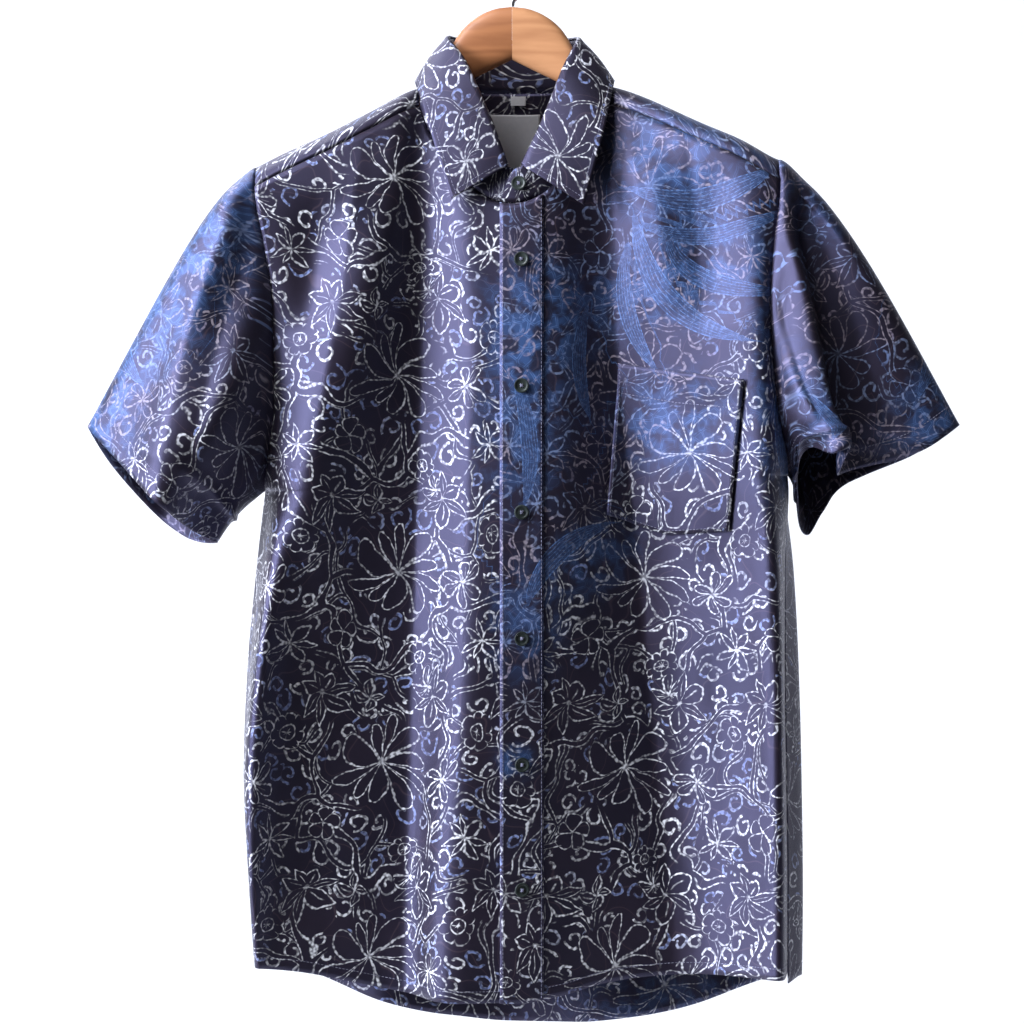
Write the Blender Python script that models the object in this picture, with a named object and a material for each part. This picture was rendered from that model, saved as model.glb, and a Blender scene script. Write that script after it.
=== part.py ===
"""A short-sleeved batik shirt, buttoned up, on a contoured wooden hanger with a wire hook.

Metres, +Z up. The front faces -Y and +X is the wearer's left. The origin is the inside top of
the hook, where a rail bears. Sizes below are in millimetres: "x" runs across, "y" runs from
front to back, and "drop" is how far a point lies below the top of the hanger's wooden head.
"""

import functools
import math

import bmesh
import bpy
import numpy as np

MM = 0.001

# Driving sizes, mm
HOOK_RISE = 48.0           # rail line to the top of the wooden head
CLOTH = 1.2                # wall of a panel
TRIM = 1.0                 # wall of the collar, placket, pocket and labels
SEAM = 0.4                 # gap between pieces that meet edge to edge
LAY = 0.4                  # gap between a piece and the panel that it lies on

POCKET_LIFT = 1.5          # the pocket stands a little further off
TUCK_GAP = 1.3             # gap between the two fronts under the placket
SLEEVE_GAP = 0.6           # gap between a sleeve and the armhole

NECK_HALF = 72.0           # centre line to the neck point on the shoulder
NECK_BACK_Y = 46.0
NECK_CENTRE_Y = 2.0
NECK_BACK_DROP = 62.0
SHOULDER_TIP = {"right": 195.6, "left": 203.6}
SIDE_SEAM_Y = {"right": -6.0, "left": -10.0}
YOKE_FALL = 17.0           # front yoke seam, below the shoulder's ridge
YOKE_SEAM_DROP = 152.0     # back yoke seam
YOKE_BEND = (1.0, 0.72, 0.34)   # how early the back of the yoke goes out and down
FRONT_NECK_DROP = 158.0    # neckline at the centre front
UNDERARM_DROP = {"right": 378.0, "left": 366.0}
ARMHOLE_ROUND = 66.0       # height over which an armhole's two edges round into the underarm
SHARE_OVER = 25.0          # height over which the edge normals of front and back merge
EVEN_BY = 220.0            # the panels' columns are evened out this far below their tops

PLACKET_EDGE = -9.0        # free edge of the placket, on the wearer's right of the centre
PLACKET_WIDTH = 33.0
PLACKET_TOP_GAP = 0.6      # the placket starts this far below the neckline
UNDERLAP_EDGE = 20.0       # hidden edge of the panel under the placket
TUCK_FROM = -40.0          # the under-lap starts to sink behind the other front here
TUCK_RUN = 26.0            # and has sunk in full this much further on
BUTTON_X = 7.0
BUTTON_TOP_DROP = 201.0
BUTTON_PITCH = 96.5
BUTTON_COUNT = 6
BUTTON_RADIUS = 5.7
BUTTON_HEIGHT = 2.4
# Turned outline of a button from its back round to its sunk middle, in shares of those two
BUTTON_PROFILE = ((0.55, 0.0), (0.92, 0.2), (1.0, 0.55), (0.93, 1.0), (0.72, 1.0), (0.60, 0.72))
BUTTON_SIDES = 16
COLLAR_BUTTON_X = 3.0
COLLAR_BUTTON_FORWARD = 0.65   # the collar's button stands this far in front of the stand
COLLAR_BUTTON_TILT = 0.15

# Shoulder ridge from the neck point to the sleeve, as (out, y, drop)
RIDGE_ROWS = (
    (60.0, 0.0, 60.0),
    (76.0, -3.0, 65.0),
    (110.0, -9.0, 83.5),
    (150.0, -22.0, 105.5),
    (180.0, -34.0, 122.0),
    (210.0, -44.0, 138.0),
)
# The left shoulder rides higher, as (out, rise)
LEFT_RISE = ((60.0, 0.0), (76.0, 2.5), (110.0, 8.5), (150.0, 10.5), (180.0, 11.0), (210.0, 11.0))

# Front sections as (drop, x of each line, y of each line). The lines run from the wearer's
# right edge to the left one: edge, crest, hollow, fly, fly, hollow, crest, edge.
FRONT_ROWS = (
    (60.0, (-197, -84, -62, -20, 22, 60, 178, 205), (-50, -18, -12, -22, -22, -12, -48, -50)),
    (100.0, (-197, -90, -64, -20, 23, 62, 182, 205), (-57, -38, -26, -36, -35, -26, -58, -58)),
    (145.0, (-196, -98, -66, -21, 24, 66, 186, 204), (-60, -54, -39, -49, -48, -38, -63, -60)),
    (190.0, (-189, -108, -68, -21, 25, 71, 187, 199), (-58, -60, -38, -54, -52, -36, -65, -60)),
    (233.0, (-183, -120, -69, -22, 26, 76, 187, 197), (-55, -63, -36, -55, -53, -33, -66, -60)),
    (307.0, (-182, -141, -70, -22, 27, 88, 190, 202), (-50, -65, -32, -57, -54, -28, -67, -54)),
    (378.0, (-192, -161, -73, -24, 28, 97, 196, 215), (-8, -65, -28, -57, -53, -22, -66, -8)),
    (439.0, (-199, -176, -77, -26, 27, 106, 201, 212), (-6, -62, -25, -57, -51, -17, -63, -10)),
    (517.0, (-206, -192, -79, -32, 22, 113, 204, 212), (-6, -58, -22, -57, -48, -13, -61, -10)),
    (596.0, (-209, -201, -81, -40, 15, 119, 205, 213), (-6, -54, -19, -55, -45, -9, -59, -10)),
    (684.0, (-204, -198, -83, -48, 8, 127, 206, 214), (-6, -50, -16, -52, -42, -6, -57, -10)),
    (780.0, (-198, -192, -84, -52, 4, 132, 206, 214), (-6, -47, -16, -49, -40, -5, -54, -10)),
)

# Back sections in the same form, from the left side seam round to the right one: edge, hip,
# crest, hollow, spine, hollow, crest, hip, edge.
BACK_ROWS = (
    (60.0, (205, 190, 150, 82, 0, -80, -146, -184, -197), (-24, -10, 8, 30, 38, 30, 8, -10, -24)),
    (152.0, (203, 188, 150, 82, 0, -80, -146, -182, -195), (-14, 2, 24, 44, 53, 44, 24, 2, -14)),
    (233.0, (197, 188, 152, 80, 4, -78, -148, -176, -183), (18, 36, 58, 56, 66, 55, 56, 36, 18)),
    (307.0, (202, 200, 156, 78, 6, -76, -150, -178, -182), (28, 48, 74, 60, 76, 58, 72, 48, 28)),
    (378.0, (215, 214, 160, 84, 6, -80, -154, -194, -192), (-8, 30, 78, 62, 80, 60, 77, 30, -8)),
    (439.0, (212, 222, 166, 88, 4, -84, -156, -198, -199), (-10, 28, 78, 60, 80, 58, 78, 28, -6)),
    (517.0, (212, 226, 170, 92, 0, -88, -160, -204, -206), (-10, 26, 77, 56, 79, 55, 77, 26, -6)),
    (596.0, (213, 228, 172, 95, -4, -92, -164, -206, -209), (-10, 24, 76, 53, 78, 52, 76, 24, -6)),
    (684.0, (214, 229, 174, 98, -8, -95, -164, -202, -204), (-10, 22, 74, 50, 76, 50, 74, 22, -6)),
    (815.0, (214, 227, 174, 100, -10, -97, -163, -197, -198), (-10, 20, 72, 48, 74, 48, 72, 20, -6)),
)

# Hems: drop of the cloth's edge at each x
FRONT_HEM_X = (-204, -165, -126, -87, -48, 6, 37, 69, 100, 147, 216)
FRONT_HEM_DROP = (742, 747, 756, 765, 770, 771, 767, 759, 755, 753, 752)
BACK_HEM_X = (-206, -150, -100, -50, 0, 50, 100, 150, 224)
BACK_HEM_DROP = (747, 766, 784, 796, 802, 801, 795, 786, 757)
HEM_LEVEL = 740.0          # where a panel's width is first read to find its hem
VENT_HEIGHT = 20.0         # slit at the foot of each side seam
VENT_GAP = 3.0

# Soft folds on the front, each a ridge (+) or hollow (-) along a slanted line, as
# (x at its top, drop of its top, x at its foot, drop of its foot, half width, height)
FRONT_FOLDS = (
    (-150.0, 150.0, -158.0, 260.0, 22.0, -7.0),
    (104.0, 110.0, 122.0, 240.0, 13.0, 5.0),
    (150.0, 130.0, 160.0, 250.0, 16.0, -5.0),
    (164.0, 300.0, 172.0, 480.0, 22.0, -4.5),
    (178.0, 470.0, 184.0, 640.0, 20.0, -4.5),
    (-118.0, 560.0, -124.0, 740.0, 20.0, 4.0),
)

# Collar halves from the front (s = 0) round to the back (s = 0.5), as
# (s, then out, y and drop of the roll line, then out, y and drop of the free edge)
COLLAR_RIGHT = (
    (0.00, 3.0, -50.0, 128.0, 46.0, -57.0, 155.0),
    (0.07, 8.0, -48.0, 114.0, 50.0, -56.0, 143.0),
    (0.15, 14.0, -43.0, 97.0, 56.0, -53.0, 124.0),
    (0.23, 24.0, -34.0, 73.0, 64.0, -44.0, 97.0),
    (0.31, 37.0, -20.0, 44.0, 71.0, -29.0, 74.0),
    (0.38, 50.0, -1.0, 24.0, 76.0, -4.0, 59.0),
    (0.43, 47.0, 20.0, 21.0, 68.0, 28.0, 60.0),
    (0.47, 27.0, 36.0, 21.0, 40.0, 54.0, 67.0),
    (0.50, 0.0, 42.0, 21.0, 0.0, 62.0, 72.0),
)
COLLAR_LEFT = (
    (0.00, 7.0, -51.0, 128.0, 55.0, -59.0, 160.0),
    (0.07, 14.0, -48.0, 113.0, 59.0, -57.0, 146.0),
    (0.15, 21.0, -43.0, 98.0, 64.0, -54.0, 127.0),
    (0.23, 30.0, -34.0, 76.0, 71.0, -45.0, 100.0),
    (0.31, 41.0, -20.0, 48.0, 76.0, -29.0, 76.0),
    (0.38, 52.0, -1.0, 25.0, 80.0, -4.0, 58.0),
    (0.43, 48.0, 20.0, 22.0, 70.0, 28.0, 60.0),
    (0.47, 28.0, 36.0, 21.0, 41.0, 54.0, 67.0),
    (0.50, 0.0, 42.0, 21.0, 0.0, 62.0, 72.0),
)

# Sleeves: the hem ring, and how far the sleeve stands off a straight line to it, both as
# (x, y, drop) at eight places: top, then over the front to the underarm and up the back
SLEEVE_S = (0.0, 0.125, 0.25, 0.375, 0.5, 0.625, 0.75, 0.875)
RIGHT_HEM = (
    (-327.0, -30.0, 328.0),
    (-306.0, -60.0, 350.0),
    (-279.0, -72.0, 378.0),
    (-248.0, -60.0, 404.0),
    (-229.0, -26.0, 417.0),
    (-250.0, 6.0, 414.0),
    (-282.0, 16.0, 390.0),
    (-312.0, 0.0, 357.0),
)
RIGHT_MIDDLE = (
    (-13.7, -2.0, -9.1),
    (-9.0, -9.0, -6.0),
    (0.0, -10.0, 0.0),
    (0.0, -4.0, 2.0),
    (-4.0, 0.0, 0.0),
    (-4.0, 3.0, 0.0),
    (-2.0, 12.0, -2.0),
    (-9.0, 8.0, -8.0),
)
LEFT_HEM = (
    (344.0, -36.0, 327.0),
    (306.0, -54.0, 350.0),
    (262.0, -66.0, 358.0),
    (240.0, -80.0, 348.0),
    (230.0, -26.0, 406.0),
    (239.0, 0.0, 397.0),
    (262.0, 10.0, 371.0),
    (312.0, 0.0, 350.0),
)
LEFT_MIDDLE = (
    (12.8, -2.0, -9.0),
    (4.0, -12.0, -8.0),
    (-4.0, -14.0, -4.0),
    (2.0, -8.0, 0.0),
    (4.0, 0.0, 0.0),
    (7.0, 3.0, 0.0),
    (2.0, 12.0, -2.0),
    (9.0, 8.0, -8.0),
)
# How far down the sleeve that stand-off is greatest, at the same places
SLEEVE_FULLEST = (0.20, 0.30, 0.45, 0.45, 0.45, 0.45, 0.45, 0.30)
# Folds down the left sleeve, as (s at the armhole, s at the hem, half width, height)
LEFT_SLEEVE_FOLDS = (
    (0.10, 0.35, 0.090, 6.0),
    (0.09, 0.21, 0.080, -9.0),
)
FOLD_FADE = 0.3            # share of the sleeve over which a fold deepens
SECOND_RING_SHARE = 0.4    # how much of the body's normals the ring next to the armhole takes

# Chest pocket on the wearer's left front: corners as (x, drop)
POCKET_TOP_IN = (82.0, 279.0)
POCKET_TOP_OUT = (177.0, 293.0)
POCKET_LOW_OUT = (167.0, 408.0)
POCKET_LOW_IN = (72.0, 396.0)
POCKET_POINT = 9.0         # how far the middle of the pocket's foot hangs lower

# Hanger arm from the centre joint to the rounded end, as
# (out, drop of the top, drop of the bottom, y, half width)
ARM_ROWS = (
    (0.2, 0.0, 41.3, 0.0, 7.5),
    (10.0, 1.0, 46.1, 0.0, 7.5),
    (20.0, 4.1, 51.0, 0.0, 7.5),
    (30.0, 9.8, 55.8, 0.0, 7.5),
    (38.0, 17.0, 59.6, 0.0, 7.5),
    (45.0, 27.0, 63.0, 0.0, 7.5),
    (50.0, 38.0, 65.4, 0.0, 7.5),
    (56.0, 51.5, 68.3, 0.0, 7.8),
    (64.0, 62.0, 73.0, -1.0, 8.2),
    (76.0, 68.6, 80.0, -3.0, 9.0),
    (110.0, 85.5, 100.0, -10.0, 11.0),
    (150.0, 107.5, 125.0, -22.5, 14.0),
    (178.0, 122.9, 141.0, -33.0, 15.5),
    (190.0, 131.0, 146.5, -38.0, 13.0),
    (194.0, 137.0, 144.5, -40.0, 7.0),
)
ARM_SIDES = 16
ARM_SQUARENESS = 2.6

WIRE_RADIUS = 1.9
HOOK_BEND_RADIUS = 19.0    # to the inside of the wire
HOOK_GAP = 0.3             # between the wire's foot and the wood
HOOK_STEM = ((0.0, 3.0), (0.4, 5.5))   # x and height of the stem above the wood
HOOK_TURN = (-58.0, 205.0) # degrees from the start of the bend round to the tip
HOOK_STEPS = 25

CENTRE_OUT = 2.0           # the collar's s is 0 this far out from the centre
NECK_FRONT_S = 0.26        # s at the front of the yoke
NECK_RIDGE_S = 0.36        # s at the neck point on the ridge
STAND_LAP_S = 0.07
STAND_LIFT = 0.9           # gap between the neckline and the stand's foot
STAND_ROOM = 1.9           # the stand stops this far below the roll
STAND_END_ROUND = 14.0     # how far its ends run past the centre and round down
STAND_BOW = 0.8            # the band's belly outwards
STAND_LEAN = 1.4           # and its lean under the fall
STAND_STEPS = (0.0, 0.33, 0.66, 1.0)
# Fold over the roll, as (out, up) from the roll line
ROLL_STEPS = ((-1.6, -0.3), (-0.3, 1.0), (1.6, 0.5))
FALL_START = (2.6, -1.2)
FALL_BOW = 2.5             # the leaf's belly outwards

# Labels on the inside of the yoke, as
# (name, x of the middle, half width, share down the yoke of the top and of the foot)
LABELS = (
    ("neck_label", 2.0, 20.5, 0.24, 0.73),
    ("size_tag", 5.0, 6.0, 0.03, 0.14),
)
LABEL_LIFT = 1.1
LABEL_WALL = 0.6
LABEL_STEPS = 5

# Mesh density
FRONT_COLUMNS_SIDE = {"right": 9, "left": 12}
FRONT_COLUMNS_NECK = 7
UPPER_ROWS = 6
ROUND_ROWS = 6
LOWER_ROWS = 11
PLACKET_ROWS = 26
PLACKET_COLUMNS = 4
YOKE_FRONT_ROWS = 4
YOKE_BACK_ROWS = 6
YOKE_NECK_COLUMNS = 14
SLEEVE_ROWS = 11
SLEEVE_ROW_EASE = 1.25     # above 1, the rings crowd towards the armhole
COLLAR_COUNT = 44
FALL_ROWS = 5
POCKET_COLUMNS = 10
POCKET_ROWS = 8


def pchip(knots, values, at):
    """Smooth curve through the values that never overshoots them.

    `values` is one row of numbers, or a row of them for each entry of `at`.
    """
    knots = np.asarray(knots, float)
    at = np.clip(np.asarray(at, float), knots[0], knots[-1])
    values = np.broadcast_to(np.asarray(values, float), at.shape + knots.shape)
    step = np.diff(knots)
    slope = np.diff(values, axis=-1) / step
    before, after = slope[..., :-1], slope[..., 1:]
    same = before * after > 0.0
    w_before = 2.0 * step[1:] + step[:-1]
    w_after = step[1:] + 2.0 * step[:-1]
    mean = w_before / np.where(same, before, 1.0) + w_after / np.where(same, after, 1.0)
    inner = np.where(same, (w_before + w_after) / np.where(same, mean, 1.0), 0.0)
    tangent = np.concatenate([slope[..., :1], inner, slope[..., -1:]], axis=-1)
    i = np.clip(np.searchsorted(knots, at) - 1, 0, len(step) - 1)

    def pick(array, offset=0):
        return np.take_along_axis(array, (i + offset)[..., None], axis=-1)[..., 0]

    width = step[i]
    t = (at - knots[i]) / width
    return (
        (2 * t**3 - 3 * t**2 + 1) * pick(values)
        + (t**3 - 2 * t**2 + t) * width * pick(tangent)
        + (3 * t**2 - 2 * t**3) * pick(values, 1)
        + (t**3 - t**2) * width * pick(tangent, 1)
    )


def periodic(knots, values, at):
    """Smooth closed curve: Catmull-Rom through values whose knots span 0 to 1."""
    values = np.asarray(values, float)
    count = len(knots)
    at = np.mod(np.asarray(at, float), 1.0)
    spread = np.append(np.asarray(knots, float), 1.0)
    i = np.clip(np.searchsorted(spread, at, side="right") - 1, 0, count - 1)
    t = ((at - spread[i]) / (spread[i + 1] - spread[i]))[:, None]
    before, here = values[(i - 1) % count], values[i]
    after, beyond = values[(i + 1) % count], values[(i + 2) % count]
    return 0.5 * (
        2.0 * here
        + (after - before) * t
        + (2.0 * before - 5.0 * here + 4.0 * after - beyond) * t**2
        + (3.0 * here - before - 3.0 * after + beyond) * t**3
    )


def unit(v):
    length = np.linalg.norm(v, axis=-1, keepdims=True)
    return v / np.where(length < 1e-9, 1.0, length)


def column(rows, index):
    return [row[index] for row in rows]


def smoothstep(t):
    t = np.clip(t, 0.0, 1.0)
    return t * t * (3.0 - 2.0 * t)


# ---------------------------------------------------------------- body surfaces

FRONT_U = np.array([0.0, 0.13, 0.34, 0.45, 0.55, 0.70, 0.92, 1.0])
BACK_U = np.array([0.0, 0.08, 0.24, 0.37, 0.50, 0.63, 0.76, 0.92, 1.0])
LEVELS = np.arange(60.0, 816.0, 1.0)


def guides(rows, which):
    """Guide lines of a section table read at every level: levels down, lines across."""
    drops = column(rows, 0)
    lines = np.array([row[which] for row in rows], float).T
    return np.stack([pchip(drops, line, LEVELS) for line in lines], axis=1)


def round_edge(side, xy_levels, index, seam_y):
    """Bring an edge's depth round to the side seam at the underarm, as an ellipse's quarter."""
    low = UNDERARM_DROP[side]
    start = low - ARMHOLE_ROUND
    held = np.interp(start, LEVELS, xy_levels[:, index])
    reach = np.clip((LEVELS - start) / ARMHOLE_ROUND, 0.0, 1.0)
    rounded = seam_y + (held - seam_y) * np.sqrt(1.0 - reach**2)
    xy_levels[:, index] = np.where(LEVELS < start, xy_levels[:, index], rounded)


FRONT_X = guides(FRONT_ROWS, 1)
FRONT_Y = guides(FRONT_ROWS, 2)
BACK_X = guides(BACK_ROWS, 1)
BACK_Y = guides(BACK_ROWS, 2)
BACK_X[:, 0] = FRONT_X[:, -1]
BACK_X[:, -1] = FRONT_X[:, 0]
round_edge("right", FRONT_Y, 0, SIDE_SEAM_Y["right"])
round_edge("left", FRONT_Y, -1, SIDE_SEAM_Y["left"])
round_edge("left", BACK_Y, 0, SIDE_SEAM_Y["left"])
round_edge("right", BACK_Y, -1, SIDE_SEAM_Y["right"])


def at_levels(levels, drop):
    """Guide values at the given drops, between the tabled levels."""
    place = np.clip(np.asarray(drop, float) - LEVELS[0], 0.0, len(LEVELS) - 1.001)
    i = place.astype(int)
    t = (place - i)[..., None]
    return levels[i] * (1.0 - t) + levels[i + 1] * t


def fold_height(x, drop):
    """Sum of the soft folds; each fades in and out along its length."""
    total = np.zeros_like(x)
    for x_top, drop_top, x_low, drop_low, half_width, height in FRONT_FOLDS:
        along = np.clip((drop - drop_top) / (drop_low - drop_top), 0.0, 1.0)
        centre = x_top + (x_low - x_top) * along
        total += height * np.sin(math.pi * along) * np.exp(-(((x - centre) / half_width) ** 2))
    return total


def front_points(u, drop):
    """Outer face of the front at (u, drop): u runs from the right edge to the left one."""
    u, drop = np.broadcast_arrays(np.asarray(u, float), np.asarray(drop, float))
    x = pchip(FRONT_U, at_levels(FRONT_X, drop), u)
    y = pchip(FRONT_U, at_levels(FRONT_Y, drop), u) - fold_height(x, drop)
    return np.stack([x, y, -drop], axis=-1)


def back_points(u, drop):
    """Outer face of the back at (u, drop): u runs from the left edge to the right one."""
    u, drop = np.broadcast_arrays(np.asarray(u, float), np.asarray(drop, float))
    x = pchip(BACK_U, at_levels(BACK_X, drop), u)
    y = pchip(BACK_U, at_levels(BACK_Y, drop), u)
    return np.stack([x, y, -drop], axis=-1)


def normals_of(surface, u, drop):
    """Outward normals of a body surface, by small steps along it."""
    step_u, step_d = 0.004, 1.5
    u = np.asarray(u, float)
    across = surface(np.clip(u + step_u, 0, 1), drop) - surface(np.clip(u - step_u, 0, 1), drop)
    down = surface(u, drop + step_d) - surface(u, drop - step_d)
    return unit(np.cross(down, across))


def u_at_x(surface, x, drop):
    """The u whose point at that drop lies at x, by halving (x runs one way along u)."""
    x, drop = np.broadcast_arrays(np.asarray(x, float), np.asarray(drop, float))
    low, high = np.zeros(x.shape), np.ones(x.shape)
    rising = surface(1.0, drop)[..., 0] > surface(0.0, drop)[..., 0]
    for _ in range(26):
        middle = 0.5 * (low + high)
        beyond = (surface(middle, drop)[..., 0] > x) == rising
        high = np.where(beyond, middle, high)
        low = np.where(beyond, low, middle)
    return 0.5 * (low + high)


def front_at(x, drop):
    """Point and normal of the front's outer face at a place given by x and drop."""
    u = u_at_x(front_points, x, drop)
    return front_points(u, drop), normals_of(front_points, u, np.asarray(drop, float))


def left_rise(x):
    """How much higher the shoulder is at x than the wearer's right one; 0 on the right."""
    rise = pchip(column(LEFT_RISE, 0), column(LEFT_RISE, 1), x)
    return np.where(np.asarray(x) > 0.0, rise, 0.0)


def ridge_at(x):
    """Shoulder ridge above x: y and drop."""
    out = np.abs(x)
    y = pchip(column(RIDGE_ROWS, 0), column(RIDGE_ROWS, 1), out)
    drop = pchip(column(RIDGE_ROWS, 0), column(RIDGE_ROWS, 2), out)
    return y, drop - left_rise(x)


def front_top_drop(x):
    """Upper boundary of the front: the yoke seam, then the neckline towards the centre."""
    out = np.abs(x)
    on_yoke = ridge_at(x)[1] + YOKE_FALL
    shoulder = ridge_at(np.sign(x) * NECK_HALF)[1] + YOKE_FALL
    reach = np.clip(1.0 - out / NECK_HALF, 0.0, 1.0)
    on_neck = shoulder + (FRONT_NECK_DROP - shoulder) * np.sin(0.5 * math.pi * reach) ** 0.75
    return np.where(out >= NECK_HALF, on_yoke, on_neck)


def front_hem_drop(x):
    return pchip(FRONT_HEM_X, FRONT_HEM_DROP, x)


def back_hem_drop(x):
    return pchip(BACK_HEM_X, BACK_HEM_DROP, x)


def even_u(surface, drops, u_from, u_to, fractions):
    """For each drop, the u at a given fraction of that level's arc length."""
    share = np.linspace(0.0, 1.0, 121)
    u = u_from[:, None] + (u_to - u_from)[:, None] * share
    points = surface(u, drops[:, None])
    length = np.cumsum(np.linalg.norm(np.diff(points, axis=1), axis=2), axis=1)
    length = np.pad(length, ((0, 0), (1, 0)))
    return np.array([np.interp(f * run[-1], run, row) for f, run, row in zip(fractions, length, u)])


# ---------------------------------------------------------------- solids from grids


def material(name, colour, roughness, metallic=0.0):
    mat = bpy.data.materials.new(name)
    mat.use_nodes = True
    shader = mat.node_tree.nodes["Principled BSDF"]
    shader.inputs["Base Color"].default_value = (*colour, 1.0)
    shader.inputs["Roughness"].default_value = roughness
    shader.inputs["Metallic"].default_value = metallic
    return mat


def place(points):
    """Millimetres below the wooden head to metres below the rail line."""
    world = np.array(points, float)
    world[..., 2] -= HOOK_RISE
    return world * MM


def add_object(name, verts, faces, mat):
    mesh = bpy.data.meshes.new(name)
    mesh.from_pydata([tuple(v) for v in place(verts)], [], faces)
    mesh.materials.append(mat)
    build = bmesh.new()
    build.from_mesh(mesh)
    bmesh.ops.recalc_face_normals(build, faces=build.faces)
    if build.calc_volume(signed=True) < 0.0:
        bmesh.ops.reverse_faces(build, faces=build.faces)
    build.to_mesh(mesh)
    build.free()
    mesh.shade_smooth()
    mesh.set_sharp_from_angle(angle=math.radians(40.0))
    obj = bpy.data.objects.new(name, mesh)
    bpy.context.collection.objects.link(obj)
    return obj


def wall_solid(name, outer, inner, mat, keep=None, closed=False):
    """Closed wall between two equal grids; keep masks cells out, closed joins the columns."""
    rows, cols = outer.shape[:2]
    count = rows * cols
    verts = np.concatenate([outer.reshape(-1, 3), inner.reshape(-1, 3)])
    cells = []
    for i in range(rows - 1):
        for j in range(cols if closed else cols - 1):
            if keep is None or keep[i][j]:
                k = (j + 1) % cols
                cells.append((i * cols + j, i * cols + k, (i + 1) * cols + k, (i + 1) * cols + j))
    uses = {}
    for cell in cells:
        for a, b in zip(cell, cell[1:] + cell[:1]):
            uses.setdefault(frozenset((a, b)), []).append((a, b))
    faces = list(cells)
    faces += [tuple(v + count for v in reversed(cell)) for cell in cells]
    for pairs in uses.values():
        if len(pairs) == 1:
            a, b = pairs[0]
            faces.append((b, a, a + count, b + count))
    used = sorted({v for face in faces for v in face})
    renumber = {old: new for new, old in enumerate(used)}
    faces = [tuple(renumber[v] for v in face) for face in faces]
    return add_object(name, verts[used], faces, mat)


def tube_faces(rings, sides):
    """Faces of a capped tube whose vertices run ring by ring."""
    faces = []
    for i in range(rings - 1):
        here, beyond = i * sides, (i + 1) * sides
        for k in range(sides):
            n = (k + 1) % sides
            faces.append((here + k, here + n, beyond + n, beyond + k))
    faces.append(tuple(reversed(range(sides))))
    faces.append(tuple(range((rings - 1) * sides, rings * sides)))
    return faces


# ---------------------------------------------------------------- front panels


def row_drops(top, under, hem):
    """Levels down one column: even to the armhole's round, close round it, even to the hem."""
    start = under - ARMHOLE_ROUND
    angles = np.linspace(0.0, 0.5 * math.pi, ROUND_ROWS + 1)
    above = top + (start - top) * np.linspace(0.0, 1.0, UPPER_ROWS + 1)[:-1]
    rounding = start + (under - start) * np.sin(angles)
    below = under + (hem - under) * np.linspace(0.0, 1.0, LOWER_ROWS + 1)[1:]
    return np.concatenate([above, rounding, below])


def panel_grid(surface, ends_of, under, tops_u, top_drops, hem_of, fractions):
    """Points, normals and drops of a body panel: columns run down, evened out below the top.

    ends_of gives the range of u at each drop, under the underarm's drop at each column, and
    fractions the share of the range's arc length there once the columns have been evened out.
    """
    foot_u = np.array(tops_u, float)
    for _ in range(3):
        hems = hem_of(surface(foot_u, HEM_LEVEL)[:, 0])
        foot_u = even_u(surface, hems, *ends_of(hems), fractions)
    columns = zip(top_drops, under, hem_of(surface(foot_u, hems)[:, 0]))
    drops = np.stack([row_drops(top, middle, hem) for top, middle, hem in columns], axis=1)
    flat = drops.ravel()
    spread = np.broadcast_to(fractions, drops.shape).ravel()
    even = even_u(surface, flat, *ends_of(flat), spread).reshape(drops.shape)
    u = tops_u + (even - tops_u) * smoothstep((drops - top_drops) / EVEN_BY)
    return surface(u, drops), normals_of(surface, u, drops), drops


def front_ends(side):
    """Range of u of one front at each drop, from its free edge out to the side."""
    free_x = UNDERLAP_EDGE if side == "right" else PLACKET_EDGE
    side_u = 0.0 if side == "right" else 1.0
    return lambda drops: (u_at_x(front_points, free_x, drops), np.full(len(drops), side_u))


def back_ends(drops):
    """Range of u of the back, from the wearer's right side to the left one."""
    return np.ones(len(drops)), np.zeros(len(drops))


def seam_normals(side, drops, of_front):
    """Normals down an edge: its own above the underarm, shared between front and back below."""
    front_u, back_u = (0.0, 1.0) if side == "right" else (1.0, 0.0)
    front = normals_of(front_points, np.full(len(drops), front_u), drops)
    back = normals_of(back_points, np.full(len(drops), back_u), drops)
    share = smoothstep((drops - UNDERARM_DROP[side] + SHARE_OVER) / SHARE_OVER)[:, None]
    if of_front:
        return unit(front + back * share)
    return unit(back + front * share)


def front_tops(side):
    """x of each column's top, from the free edge to the neck point and on to the armhole."""
    sign = -1.0 if side == "right" else 1.0
    free = UNDERLAP_EDGE if side == "right" else PLACKET_EDGE
    ease = np.sin(0.5 * math.pi * np.linspace(1.0, 0.0, FRONT_COLUMNS_NECK + 1))[:-1]
    neck = sign * NECK_HALF + (free - sign * NECK_HALF) * ease
    shoulder = np.linspace(NECK_HALF, SHOULDER_TIP[side], FRONT_COLUMNS_SIDE[side]) * sign
    return np.concatenate([neck, shoulder])


@functools.lru_cache(maxsize=None)
def front_grid(side):
    """Points and normals of one front; its columns run from the free edge to the side."""
    tops = front_tops(side)
    top_drops = front_top_drop(tops)
    tops_u = u_at_x(front_points, tops, top_drops)
    tops_u[-1] = 0.0 if side == "right" else 1.0
    fractions = np.linspace(0.0, 1.0, len(tops))
    under = np.full(len(tops), UNDERARM_DROP[side])
    points, normals, drops = panel_grid(
        front_points, front_ends(side), under, tops_u, top_drops, front_hem_drop, fractions
    )
    normals[:, -1] = seam_normals(side, drops[:, -1], True)
    return points, normals


def pull_in(points, edge, neighbour, amount):
    """Move an edge column towards its neighbour, which opens a seam gap."""
    points[:, edge] += unit(points[:, neighbour] - points[:, edge]) * amount


def open_vent(points, edge, neighbour):
    """Part the foot of a side seam into a slit."""
    low = -points[-1, edge, 2]
    share = np.clip((-points[:, edge, 2] - (low - VENT_HEIGHT)) / VENT_HEIGHT, 0.0, 1.0)
    points[:, edge] += unit(points[:, neighbour] - points[:, edge]) * (share * VENT_GAP)[:, None]


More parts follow.
